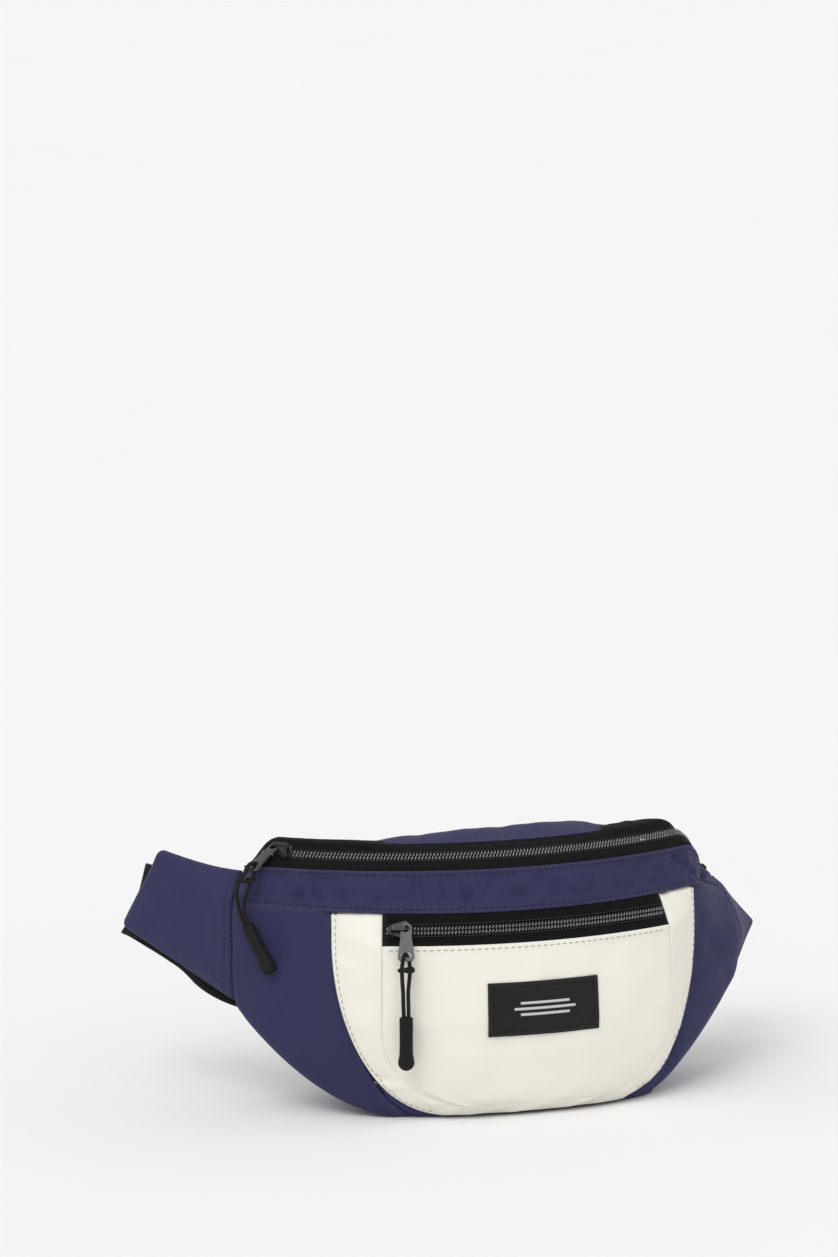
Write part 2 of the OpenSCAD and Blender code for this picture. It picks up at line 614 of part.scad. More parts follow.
back_panel();
back_foam();
top_rear_panel();
front_band();
side_panel_left();
side_panel_right();
bottom_panel();
pocket_divider();
pocket_gusset();
pocket_panel();
label();
main_zip_tape_rear();
main_zip_tape_front();
main_zip_coil_rear();
main_zip_coil_front();
pocket_zip_tape_upper();
pocket_zip_tape_lower();
pocket_zip_coil_upper();
pocket_zip_coil_lower();
wing_left_outer();
wing_left_foam();
wing_left_inner();
wing_right_outer();
wing_right_foam();
wing_right_inner();
strap_left();
strap_right();
strap_keeper();
buckle_female();
buckle_male();
latch_arm_upper();
latch_arm_lower();
main_slider();
main_pull_tab();
main_pull_cord();
main_pull_tip();
pocket_slider();
pocket_pull_tab();
pocket_pull_cord();
pocket_pull_tip();
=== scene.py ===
"""The looks of the waist pack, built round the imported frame.

Surfaces are worked out in millimetres and degrees about the zips' upright axis, as the frame's own
panels are, and their meshes are made in metres. Angles are negative on the left.
"""

import json
import math

import bpy
import numpy as np
from mathutils import Matrix, Vector


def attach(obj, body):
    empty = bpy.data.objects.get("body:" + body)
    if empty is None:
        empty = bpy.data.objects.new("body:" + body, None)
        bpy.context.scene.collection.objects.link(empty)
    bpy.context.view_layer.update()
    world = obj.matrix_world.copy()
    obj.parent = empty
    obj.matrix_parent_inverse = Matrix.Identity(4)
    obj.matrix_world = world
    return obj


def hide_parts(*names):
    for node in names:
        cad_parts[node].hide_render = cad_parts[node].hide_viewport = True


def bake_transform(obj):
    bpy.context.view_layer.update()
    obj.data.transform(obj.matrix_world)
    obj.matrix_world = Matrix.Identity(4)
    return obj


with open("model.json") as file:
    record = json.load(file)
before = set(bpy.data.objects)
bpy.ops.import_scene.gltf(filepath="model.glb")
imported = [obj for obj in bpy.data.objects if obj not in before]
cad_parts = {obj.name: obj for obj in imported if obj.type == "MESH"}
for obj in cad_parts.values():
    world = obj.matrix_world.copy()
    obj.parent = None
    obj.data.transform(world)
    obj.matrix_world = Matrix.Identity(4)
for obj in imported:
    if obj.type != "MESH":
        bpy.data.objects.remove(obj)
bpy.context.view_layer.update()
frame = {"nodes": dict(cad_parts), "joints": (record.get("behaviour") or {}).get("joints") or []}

MM = 0.001
joints = {j["name"]: j for j in frame["joints"]}
AXIS_X, AXIS_Y = (1000 * x for x in joints["main_zip_slide"]["pos_m"][:2])

# ----- the pack's measures -----
SEAM_LEFT, SEAM_RIGHT = 42.8, 40.5  # angles of the wings' seams
SEAM_TOP_LEFT, SEAM_TOP_RIGHT = (190, 119.5), (186, 99)  # their tops: distance and height
LEVEL_LEFT, LEVEL_RIGHT = -38, 27  # the main zip is level between these angles
BASE_HALF, LOW_SEAM_Z, BACK_HALF = 19, 53, 43
FRONT_R = 205  # the front's mean distance from the axis
ZIP_R, ZIP_Z, ZIP_TILT, MAIN_SLIDER_TH = 194, 129.5, 29, -36
POCKET_R, POCKET_Z, POCKET_TILT, POCKET_SLIDER_TH = 211, 96, 62, -18.6
FACE_HALF, FACE_TOP_Z, FACE_FOOT_Z, SEAM_TOP_Z = 20.8, 88, 7, 105
# half widths in degrees at the top and foot, and the height where the corners start
FACE_OUTLINE, GUSSET_OUTLINE = (FACE_HALF, 8, 45), (28, 12, 91)
LEFT_END = ((-55, 200, 125.5), (-61.4, 203, 82.7))  # a wing's end corners
RIGHT_END = ((54.4, 171, 90), (58.9, 192, 62))
BELT_Y, BELT_Z, WEB_W, WEB_T, MOUTH_X = 25, 57, 38, 1.5, -24
CORD_D, TIP_L, TIP_R, TIP_END_R = 2, 27, 3.3, 4
CLOTH_T, POCKET_CLOTH_T, TAPE_T, LABEL_T = 1.2, 1, 0.6, 0.8
HEM_W, HEM_STITCH = 4, 2.2  # a hem's width and its stitching's distance from the edge
TAPE_HALF, TAPE_SINK, CHAIN_GAP = 5.5, 0.2, 0.15
COIL_PITCH, COIL_OUT, COIL_RISE, THREAD_OUT, THREAD_RISE = 1.7, 1.08, 0.35, 3.1, 0.25


# ----- camera -----
def add_camera():
    """The camera at the photograph's angle: a long lens, 10 degrees above the level."""
    right = Vector((0.9455, -0.3256, 0))
    back = Vector((-0.3206, -0.9311, 0.1736))
    up = back.cross(right).normalized()
    axis = Vector((AXIS_X * MM, AXIS_Y * MM, 0))
    aim_right, aim_up, distance = 0.0115, 0.20725, 3.1877
    data = bpy.data.cameras.new("camera")
    data.lens = 171.8
    data.sensor_width = 36
    data.clip_end = 60
    camera = bpy.data.objects.new("camera", data)
    bpy.context.scene.collection.objects.link(camera)
    place = axis + aim_right * right + aim_up * up + distance * back
    turned = Matrix((right, up, back)).transposed().to_4x4()
    camera.matrix_world = Matrix.Translation(place) @ turned
    bpy.context.scene.camera = camera


# ----- number helpers -----
def mix(a, b, t):
    return a + (b - a) * t


def ease(a, b, x):
    """From 0 at a to 1 at b, smooth at both."""
    t = np.clip((x - a) / (b - a), 0, 1)
    return t * t * (3 - 2 * t)


def sind(a):
    return np.sin(np.radians(a))


def cosd(a):
    return np.cos(np.radians(a))


def unit(v):
    return v / np.maximum(np.linalg.norm(v, axis=-1, keepdims=True), 1e-9)


def cyl(th, r, z):
    """Points at an angle and a distance from the zips' axis, and at a height."""
    th, r, z = np.broadcast_arrays(th, r, z)
    return np.stack([AXIS_X + r * sind(th), AXIS_Y - r * cosd(th), z + 0.0], -1)


def curve(p, t):
    """Points of a Catmull-Rom curve through p, at t from 0 to len(p) - 1."""
    p, t = np.asarray(p, float), np.asarray(t, float)
    n = len(p) - 1
    ends = np.concatenate([2 * p[:1] - p[1:2], p, 2 * p[-1:] - p[-2:-1]])
    i = np.clip(np.floor(t).astype(int), 0, n - 1)
    f = (t - i)[..., None]
    if p.ndim == 2:
        a, b, c, d = (ends[i + k] for k in range(4))
    else:
        a, b, c, d = (np.take_along_axis(ends, (i + k)[None, ..., None], 0)[0] for k in range(4))
    square, cube = 2 * a - 5 * b + 4 * c - d, 3 * b - a - 3 * c + d
    return 0.5 * (2 * b + (c - a) * f + square * f**2 + cube * f**3)


def edged(a, b, n, close=0.0):
    """n + 1 even steps from a to b, with one more value close to each end."""
    s = list(np.linspace(a, b, n + 1))
    if close:
        s = [s[0], s[0] + close, *s[1:-1], s[-1] - close, s[-1]]
    return np.array(s)


LATTICE = np.random.default_rng(11).random((24, 24, 24)) * 2 - 1


def bumps(p, size, shift=0.0):
    """Smooth noise from -1 to 1 at points p, in lumps about size across."""
    q = p / size + shift
    i = np.floor(q).astype(int)
    f = q - i
    f = f * f * (3 - 2 * f)
    total = 0
    for corner in range(8):
        k = np.array([corner & 1, corner >> 1 & 1, corner >> 2])
        x, y, z = np.moveaxis((i + k) % len(LATTICE), -1, 0)
        total = total + LATTICE[x, y, z] * np.prod(np.where(k, f, 1 - f), -1)
    return total


def creases(x, y, span, angles, length, width, depth, count, seed):
    """Soft straight folds scattered over a flat area: the height of the cloth at x, y."""
    r = np.random.default_rng(seed)
    total = np.zeros(np.broadcast(x, y).shape)
    for _ in range(count):
        x0, y0 = r.uniform(span[0], span[1]), r.uniform(span[2], span[3])
        a = math.radians(r.choice(angles) + r.normal(0, 9))
        long, wide = length * r.uniform(0.6, 1.4), width * r.uniform(0.7, 1.5)
        d = depth * r.uniform(0.4, 1) * r.choice([-1, 1], p=[0.6, 0.4])
        along = (x - x0) * math.cos(a) + (y - y0) * math.sin(a)
        across = (y - y0) * math.cos(a) - (x - x0) * math.sin(a)
        across = across + r.uniform(-0.012, 0.012) * along**2
        total += d * np.exp(-((across / wide) ** 2) - (along / long) ** 2)
    return total


# ----- the body surface -----
def low_z(th):
    """Height of the body's foot: level in the middle, rising to the wings' seams."""
    a = np.abs(th)
    seam = np.where(th < 0, SEAM_LEFT, SEAM_RIGHT)
    rise = np.clip((a - BASE_HALF) / (seam - BASE_HALF), 0, None)
    return LOW_SEAM_Z * rise ** np.where(th < 0, 1.7, 1.1)


def back_low_r(th):
    return mix(138, 143.5, (th / BACK_HALF) ** 2) / cosd(th)


def back_top_r(th):
    return mix(148, 133.5, (th / BACK_HALF) ** 2) / cosd(th)


def profile(th):
    """The body's section at an angle: 12 points of [distance, height], from the back seam over
    the zip (4), down the band (6 to 7) and the front (to 10), and under the base."""
    th = np.asarray(th, float)
    left = th < 0
    w = np.where(left, ease(-LEVEL_LEFT, SEAM_LEFT, -th), ease(LEVEL_RIGHT, SEAM_RIGHT, th))
    q = (th / 42) ** 2
    top_r = np.where(left, SEAM_TOP_LEFT[0], SEAM_TOP_RIGHT[0])
    top_z = np.where(left, SEAM_TOP_LEFT[1], SEAM_TOP_RIGHT[1])
    lo, ct, st = low_z(th), cosd(ZIP_TILT), sind(ZIP_TILT)
    band_r = mix(206 - 3 * q, np.where(left, 203, 194), w)
    band_z = mix(104.3 + 1.2 * q, np.where(left, 104.5, 93.5), w)
    hump = np.minimum(1, (th / 24) ** 2)
    rows = [
        (mix(back_top_r(th), top_r - 7, w), mix(127, top_z - 3, w)),
        (mix(mix(164, 174, q), top_r - 6, w), mix(mix(137.5, 131.5, hump), top_z - 1, w)),
        (mix(183, top_r - 5, w), mix(133.8, top_z, w)),
        (mix(ZIP_R - TAPE_HALF * ct, top_r - 3.5, w), mix(ZIP_Z + TAPE_HALF * st, top_z + 0.6, w)),
        (mix(ZIP_R, top_r - 2, w), mix(ZIP_Z, top_z + 0.9, w)),
        (mix(ZIP_R + TAPE_HALF * ct, top_r - 0.8, w), mix(ZIP_Z - TAPE_HALF * st, top_z + 0.6, w)),
        (mix(201, top_r, w), mix(123.5, top_z, w)),
        (band_r, band_z),
        (mix(209, 204.5, q), mix(lo, band_z, 0.52)),
        (mix(212, 204.5, q), mix(lo + 13, lo + 9, np.minimum(1, q))),
        (mix(208, 202, q), lo),
        (back_low_r(th) + 1, lo),
    ]
    return np.array([np.stack(np.broadcast_arrays(r, z), -1) for r, z in rows])


def section(th, v):
    """Distance and height at a place v along the section, from 0 to 11."""
    th, v = np.broadcast_arrays(np.asarray(th, float), np.asarray(v, float))
    q = profile(th)
    run = curve(q[:11], np.minimum(v, 10))
    flat = mix(q[10], q[11], (v - 10)[..., None])
    return np.where((v > 10)[..., None], flat, run)


def body(th, v):
    p = section(th, v)
    return cyl(th, p[..., 0], p[..., 1])


def drawn_back(th):
    """How far the rear cloth's hem has drawn back from the zip, 0 in the middle, 1 at the ends."""
    return np.where(th < 0, ease(17, 25, -th), ease(13, 20, th))


def rear(th, v):
    """The top behind the zip, where its hem has drawn back towards both ends."""
    p = body(th, v - 0.4 * drawn_back(th) * ease(1, 2, v))
    p[..., 2] -= 1.3 * drawn_back(th) * ease(0.7, 1.5, v)
    return p


def back(u, v):
    """The back panel: u is the angle as seen from behind, v goes from the top edge to the foot."""
    th = -u
    p = profile(th)
    bulge = 3 * sind(180 * v) * cosd(2 * th)
    return cyl(th, mix(p[0][..., 0], p[11][..., 0], v) - 1.5 - bulge,
               mix(p[0][..., 1], p[11][..., 1] + 0.8, v))


def half_width(z, outline, foot_z):
    """Half the angle that a round-cornered panel spans at a height."""
    half, foot_half, round_z = outline
    drop = np.clip((round_z - np.maximum(z, foot_z)) / (round_z - foot_z), 0, 1)
    return np.where(z >= round_z, half, foot_half + (half - foot_half) * np.sqrt(1 - drop**2))


def side_panel(s, u, v):
    """A side panel: u from its left edge to its right edge, v from 7 to 10."""
    z = section(s * 24.0 + 0 * u, v)[..., 1]
    seam = -SEAM_LEFT + 0.1 if s < 0 else SEAM_RIGHT - 0.1
    edge = s * (half_width(z, GUSSET_OUTLINE, 0) - 0.2)
    return body(mix(seam, edge, u) if s < 0 else mix(edge, seam, u), v)


def body_r(th, z):
    q = (th / 42) ** 2
    high = mix(209 - 4.5 * q, 206 - 3 * q, (z - 57) / 47)
    low = mix(212 - 7.5 * q, 209 - 4.5 * q, (z - 13) / 44)
    return np.where(z > 57, high, np.where(z > 13, low, mix(208 - 6 * q, 212 - 7.5 * q, z / 13)))


def pocket_seam(w, outline, foot_z, turn_end):
    """Angle and height along a seam of the pocket, w from -1 at the top left to 1: level at the
    foot, round to turn_end, then straight up."""
    half, foot_half, round_z = outline
    a, foot_end = np.abs(w), 0.2
    t = 90 * np.clip((a - foot_end) / (turn_end - foot_end), 0, 1)
    th = np.where(a < foot_end, a / foot_end * foot_half, foot_half + (half - foot_half) * sind(t))
    z = np.where(a < turn_end, foot_z + (round_z - foot_z) * (1 - cosd(t)),
                 mix(round_z, SEAM_TOP_Z, (a - turn_end) / (1 - turn_end)))
    return np.sign(w) * th, z


def face_edge_r(z):
    """The pocket face's distance from the axis along its side edges."""
    belly_z, belly_r, top_r, foot_in = 50, 218.5, 215.2, 1.5
    above = POCKET_R + (POCKET_Z - z) / math.tan(math.radians(POCKET_TILT))
    upper = mix(belly_r, top_r, (z - belly_z) / (FACE_TOP_Z - belly_z))
    lower = belly_r - foot_in * (belly_z - z) / (belly_z - FACE_FOOT_Z)
    return np.where(z > FACE_TOP_Z, above, np.where(z > belly_z, upper, lower))


def gusset(w, t):
    """The pocket's gusset: w along its seams, t from the face's seam to the body's. Its ends tuck
    in under the band's hem."""
    fth, fz = pocket_seam(w, FACE_OUTLINE, FACE_FOOT_Z, 0.6)
    oth, oz = pocket_seam(w, GUSSET_OUTLINE, 0.9, 0.85)
    a = cyl(fth, face_edge_r(fz), fz)
    b = cyl(oth, body_r(oth, oz) + 1.6, oz)
    m = cyl((fth + oth) / 2, (face_edge_r(fz) + body_r(oth, oz)) / 2 + 1, (fz + oz) / 2)
    p = mix(a, b, t[..., None]) + (m - (a + b) / 2) * (sind(180 * t) * 1.2)[..., None]
    out = unit(cyl(oth, 1, 0) - cyl(oth, 0, 0))
    tuck = 3.2 * ease(102, 104.2, p[..., 2])
    return p - out * tuck[..., None]


def face(a, b):
    """The pocket face, a from -1 to 1 across and b from 0 to 1 down."""
    z = mix(FACE_TOP_Z, FACE_FOOT_Z, b)
    crown = 3.4 * (1 - a * a) * np.minimum(1, 0.25 + 3 * b) * np.minimum(1, 3 * (1 - b))
    return cyl(a * half_width(z, FACE_OUTLINE, FACE_FOOT_Z), face_edge_r(z) + crown, z)


def pocket_zip(th, t):
    """The pocket zip's tapes: t is the distance down from the chain."""
    return cyl(th, POCKET_R + t * cosd(POCKET_TILT), POCKET_Z - t * sind(POCKET_TILT))


def wing(s, u, v):
    """A wing's outer surface: u from the seam to the end, v from the top to the foot."""
    seam = -SEAM_LEFT - 0.1 if s < 0 else SEAM_RIGHT + 0.1
    end = LEFT_END if s < 0 else RIGHT_END
    a = body(seam + 0 * u, mix(6, 10, v))
    b = mix(cyl(*end[0]), cyl(*end[1]), v[..., None])
    p = mix(a, b, u[..., None])
    sag = 1.2 * sind(180 * u) * (1 - v) ** 2
    p[..., 2] -= sag
    return p


def normals(f, u, v, du, dv):
    return unit(np.cross(f(u, v + dv) - f(u, v - dv), f(u + du, v) - f(u - du, v)))


# ----- mesh builders -----
def new_object(name, points, faces, uv=None, wear_and_highlight=None):
    """A smooth mesh object from points in millimetres, with cloth coordinates in decimetres and
    its wear from 0 to 1; on the zip coil this value is a painted highlight instead."""
    mesh = bpy.data.meshes.new(name)
    mesh.from_pydata((np.reshape(points, (-1, 3)) * MM).tolist(), [], faces)
    mesh.shade_smooth()
    if uv is not None:
        layer = mesh.uv_layers.new(name="cloth")
        index = np.zeros(len(mesh.loops), int)
        mesh.loops.foreach_get("vertex_index", index)
        uv = uv.reshape(-1, 2)[index] / 100
        layer.data.foreach_set("uv", uv.astype(np.float32).ravel())
    if wear_and_highlight is not None:
        values = mesh.attributes.new("wear_and_highlight", "FLOAT", "POINT").data
        values.foreach_set("value", wear_and_highlight.astype(np.float32).ravel())
    obj = bpy.data.objects.new(name, mesh)
    bpy.context.scene.collection.objects.link(obj)
    return obj


def grid_quads(index):
    a, b, c, d = index[:-1, :-1], index[:-1, 1:], index[1:, 1:], index[1:, :-1]
    return np.stack([a, b, c, d], -1).reshape(-1, 4)


def slab(name, outer, inner, uv, wear_and_highlight):
    """A closed sheet between two equal grids of points."""
    n, m = outer.shape[:2]
    top = np.arange(n * m).reshape(n, m)
    low = top + n * m
    ring = np.concatenate([top[0, :-1], top[:-1, -1], top[-1, :0:-1], top[:0:-1, 0]])
    ahead = np.roll(ring, -1)
    rim = np.stack([ahead, ring, ring + n * m, ahead + n * m], -1)
    faces = np.concatenate([grid_quads(top), grid_quads(low)[:, ::-1], rim]).tolist()
    points, uv, wear_and_highlight = (np.concatenate(x) for x in ((outer, inner), (uv, uv), (wear_and_highlight, wear_and_highlight)))
    return new_object(name, points, faces, uv, wear_and_highlight)


def spans(p, axis):
    """Distance along a grid of points from its first row (axis 0) or column (axis 1)."""
    step = np.linalg.norm(np.diff(p, axis=axis), axis=-1)
    start = np.zeros_like(np.take(step, [0], axis))
    return np.concatenate([start, np.cumsum(step, axis)], axis)


laid = {}  # each cloth's outer points, ways out and distances to its edges, for its seams


def worn_edge(distance, reach=1.6):
    return np.exp(-distance / reach)


def cloth(name, f, us, vs, thick, lift, du=0.3, dv=0.02):
    """A sheet of cloth on the surface f with soft edges. lift gives the height of its folds from
    the grid of points, its u and v, and the distances to its left, right, top and bottom edges."""
    u, v = np.meshgrid(us, vs, indexing="ij")
    p = f(u, v)
    n = normals(f, u, v, du, dv)
    s, t = spans(p, 0), spans(p, 1)
    edges = (s, s[-1:] - s, t, t[:, -1:] - t)
    height = lift(p, u, v, *edges)
    nearest = np.minimum.reduce(edges)
    rim = 0.35 * thick * (nearest < 1e-6)
    outer = p + n * (height - rim)[..., None]
    inner = p + n * (height - thick + rim)[..., None]
    middle = s[:, [s.shape[1] // 2]] + 0 * s
    laid[name] = (outer, n, edges)
    return slab(name, outer, inner, np.stack([middle, t], -1), worn_edge(nearest))


def seam_line(name, edge, inset, skip=0.02):
    """A line on a laid cloth's outer face, inset from its left, right, top or bottom edge (0 to
    3), and the way out of the cloth along it. skip is the share left off at each end."""
    outer, n, edges = laid[name]
    gap = edges[edge]
    if edge < 2:
        outer, n, gap = outer.swapaxes(0, 1), n.swapaxes(0, 1), gap.T
    rows = []
    for points, ways, d in zip(outer, n, gap):
        order = np.argsort(d)
        both = np.concatenate([points, ways], 1)[order]
        rows.append([np.interp(inset, d[order], both[:, k]) for k in range(6)])
    cut = max(1, int(len(rows) * skip))
    rows = np.array(rows)[cut:-cut]
    return rows[:, :3], unit(rows[:, 3:])


def tube_grid(centres, a, b, sides, relief=1.0):
    """Rings of points round a line. a and b are the half axes of each ring, and relief scales
    each point's distance from the line."""
    k = 2 * np.pi * np.arange(sides) / sides
    out = a[:, None] * np.cos(k)[:, None] + b[:, None] * np.sin(k)[:, None]
    return centres[:, None] + out * relief


def tube_faces(rings, sides, first=0):
    index = first + np.arange(rings * sides).reshape(rings, sides)
    wrapped = np.concatenate([index, index[:, :1]], 1)
    faces = grid_quads(wrapped)[:, ::-1].tolist()
    return faces + [index[0].tolist(), index[-1][::-1].tolist()]


def tube(name, centres, a, b, sides, wear_and_highlight=None):
    rings = tube_grid(centres, a, b, sides)
    along = spans(centres[:, None], 0)
    round_ = np.arange(sides) / sides * np.pi * 2 * np.linalg.norm(a, axis=-1)[:, None]
    uv = np.stack([along + 0 * round_, round_], -1)
    return new_object(name, rings, tube_faces(len(centres), sides), uv, wear_and_highlight)


def frames_along(line, start=(0.2, 1, 0.1)):
    """Two cross directions at each point of a line that turn as little as they can."""
    run = unit(np.gradient(line, axis=0))
    a = [unit(np.cross(run[0], start))]
    for r in run[1:]:
        a.append(unit(a[-1] - r * (a[-1] @ r)))
    a = np.array(a)
    return a, np.cross(run, a)


def at_places(places, where, values):
    """Rows of values, which stand at where, read off at other places."""
    return np.stack([np.interp(places, where, values[:, k]) for k in range(values.shape[1])], -1)


def resample(line, step, *more):
    """The line at even steps, and what else goes along it."""
    along = spans(line[:, None], 0)[:, 0]
    at = np.linspace(0, along[-1], max(3, int(round(along[-1] / step)) + 1))
    picked = [at_places(at, along, x) for x in (line, *more)]
    return picked if more else picked[0]


def stitches(name, line, up, pitch=3.4, share=0.7, radius=0.3, sink=0.12):
    """A row of thread stitches along a line on cloth, each dipping in at its ends."""
    steps, sides = 8, 6
    line, up = resample(line, pitch / steps, up)
    up = unit(up)
    side = unit(np.cross(unit(np.gradient(line, axis=0)), up))
    where = np.arange(len(line)) * pitch / steps
    t = np.linspace(0, 1, 6)
    arch = np.sin(np.pi * t)
    size = radius * (0.35 + 0.65 * np.sqrt(arch))
    points, faces = [], []
    for i in range(int(where[-1] / pitch)):
        at = (i + 0.15 + share * t) * pitch
        c, n, w = (at_places(at, where, x) for x in (line, up, side))
        c = c + n * (radius * arch - sink)[:, None]
        points.append(tube_grid(c, w * size[:, None], n * size[:, None] * 0.8, sides))
        faces += tube_faces(len(t), sides, i * len(t) * sides)
    return new_object(name, np.concatenate(points), faces)


# ----- materials -----
def linear(rgb):
    """A linear colour from the usual 0-255 values."""
    c = np.array(rgb, float) / 255
    return (*np.where(c <= 0.04045, c / 12.92, ((c + 0.055) / 1.055) ** 2.4), 1)


def tone(rgb, share):
    """A lighter or darker tone of a 0-255 colour."""
    return (*np.clip(np.array(linear(rgb))[:3] * share, 0, 1), 1)


class Nodes:
    """A short way to build a material's nodes."""

    def __init__(self, name):
        self.material = bpy.data.materials.new(name)
        self.material.use_nodes = True
        self.tree = self.material.node_tree
        self.shader = self.tree.nodes["Principled BSDF"]

    def put(self, socket, value):
        if isinstance(value, bpy.types.NodeSocket):
            self.tree.links.new(value, socket)
        else:
            socket.default_value = value

    def add(self, kind, inputs=(), **settings):
        node = self.tree.nodes.new(kind)
        for key, value in settings.items():
            setattr(node, key, value)
        for key, value in dict(inputs).items():
            self.put(node.inputs[key], value)
        return node

    def math(self, operation, a, b=0.0):
        return self.add("ShaderNodeMath", {0: a, 1: b}, operation=operation).outputs[0]

    def times(self, a, b):
        return self.math("MULTIPLY", a, b)

    def around(self, middle, spread, amount):
        """A value that varies about middle, by half of spread each way."""
        return self.math("ADD", self.times(amount, spread), middle - spread / 2)

    def coordinates(self, kind):
        return self.add("ShaderNodeTexCoord").outputs[kind]

    def wear_and_highlight(self):
        return self.add("ShaderNodeAttribute", attribute_name="wear_and_highlight").outputs["Fac"]

    def mix_colour(self, factor, a, b):
        node = self.add("ShaderNodeMix", {0: factor, 6: a, 7: b}, data_type="RGBA")
        return node.outputs[2]

    def noise(self, scale, detail=3, rough=0.55, vector=None):
        where = vector or self.coordinates("Object")
        inputs = {"Vector": where, "Scale": scale, "Detail": detail, "Roughness": rough}
        return self.add("ShaderNodeTexNoise", inputs).outputs["Fac"]

    def weave(self, pitch, kind="plain"):
        """Thread height from 0 to 1 on the cloth coordinates, pitch in millimetres."""
        part = self.add("ShaderNodeSeparateXYZ", {0: self.coordinates("UV")}).outputs
        turns = 2 * math.pi * 100 / pitch
        x, y = self.times(part[0], turns), self.times(part[1], turns)
        if kind == "twill":
            wave = self.math("SINE", self.math("ADD", x, y))
        elif kind == "rib":
            across, along = self.math("SINE", y), self.math("SINE", self.times(x, 0.9))
            wave = self.math("ADD", self.times(across, 0.75), self.times(along, 0.25))
        else:
            wave = self.times(self.math("SINE", x), self.math("SINE", y))
        return self.math("ADD", self.times(wave, 0.5), 0.5)

    def bump(self, height, distance, strength=1.0, under=None):
        inputs = {"Height": height, "Distance": distance, "Strength": strength}
        if under is not None:
            inputs["Normal"] = under
        return self.add("ShaderNodeBump", inputs).outputs[0]

    def set(self, **inputs):
        for key, value in inputs.items():
            self.put(self.shader.inputs[key.replace("_", " ")], value)
        return self.material


def cloth_material(name, rgb, pitch, kind="plain", rough=0.7, sheen=0.15, depth=0.00012,
                   vary=0.16, worn=0.1, specular=0.3):
    """Woven cloth: painted light and shade on the threads, uneven dye, faint lighter wear along
    edges.
    """
    n = Nodes(name)
    light = tone(rgb, 1 + vary)
    weave = n.weave(pitch, kind)
    colour = n.mix_colour(n.noise(14, 4), tone(rgb, 1 - vary), light)
    # painted light and shade on the weave: its crests lighter, its hollows darker
    painted_thread_shade = n.mix_colour(n.times(weave, 0.22), colour, light)
    patchy = n.times(n.times(n.wear_and_highlight(), n.noise(420, 2)), worn * 2)
    pale = (*np.clip(np.array(linear(rgb))[:3] * 0.7 + 0.12, 0, 1), 1)
    colour = n.mix_colour(patchy, painted_thread_shade, pale)
    fine = n.bump(n.noise(2600, 2), 0.0001, 0.3)
    return n.set(Base_Color=colour, Roughness=n.around(rough, 0.16, n.noise(60, 2)),
                 Normal=n.bump(weave, depth, 0.75, fine), Sheen_Weight=sheen, Sheen_Roughness=0.45,
                 Specular_IOR_Level=specular)


def mesh_material(name, rgb):
    """Knitted spacer mesh: rows of small holes, with painted shade in them."""
    n = Nodes(name)
    inputs = {"Vector": n.coordinates("UV"), "Scale": 55.0, "Randomness": 0.12}
    cells = n.add("ShaderNodeTexVoronoi", inputs)
    limits = {"Value": cells.outputs["Distance"], "From Min": 0.22, "From Max": 0.42}
    hole = n.add("ShaderNodeMapRange", limits).outputs[0]
    # painted shade: the holes are coloured near black
    colour = n.mix_colour(hole, tone(rgb, 0.2), linear(rgb))
    normal = n.bump(hole, 0.0006, 0.9, n.bump(n.noise(1800, 2), 0.00015, 0.4))
    return n.set(Base_Color=colour, Roughness=0.85, Normal=normal, Sheen_Weight=0.2,
                 Specular_IOR_Level=0.25)


def plastic_material(name, rgb, rough=0.45, grain=900, depth=0.00008, specular=0.4):
    """Moulded plastic or rubber: a fine grain and slightly uneven gloss."""
    n = Nodes(name)
    colour = n.mix_colour(n.noise(40, 3), tone(rgb, 0.85), tone(rgb, 1.15))
    return n.set(Base_Color=colour, Roughness=n.around(rough, 0.18, n.noise(120, 3)),
                 Specular_IOR_Level=specular, Normal=n.bump(n.noise(grain, 2), depth, 0.5))


def metal_material(name, rgb, rough=0.32):
    """Plated metal with fine brushing, small scratches and duller patches."""
    n = Nodes(name)
    stretched = {"Vector": n.coordinates("Object"), "Scale": (900, 120, 900)}
    brushed = n.noise(4, 4, 0.6, n.add("ShaderNodeMapping", stretched).outputs[0])
    colour = n.mix_colour(n.noise(300, 3), tone(rgb, 0.8), tone(rgb, 1.2))
    return n.set(Base_Color=colour, Metallic=1.0, Roughness=n.around(rough, 0.22, brushed),
                 Normal=n.bump(brushed, 0.00003, 0.5))


def coil_material():
    """Nylon coil: near black in the gaps, with a painted highlight: pale where the loops crown."""
    n = Nodes("zip coil")
    painted_highlight = n.times(n.wear_and_highlight(), n.math("ADD", n.noise(500, 2), 0.4))
    # the pale colour is a painted highlight on the loops' crowns, varied a little by noise
    colour = n.mix_colour(painted_highlight, linear((10, 10, 11)), linear((140, 140, 142)))
    return n.set(Base_Color=colour, Roughness=0.32, Specular_IOR_Level=0.6,
                 Normal=n.bump(n.noise(1500, 2), 0.00006, 0.5))


def floor_material():
    """Pale paper, a little uneven."""
    n = Nodes("floor")
    colour = n.mix_colour(n.noise(3, 2), linear((241, 241, 241)), linear((243, 243, 243)))
    return n.set(Base_Color=colour, Roughness=0.9, Specular_IOR_Level=0.1)


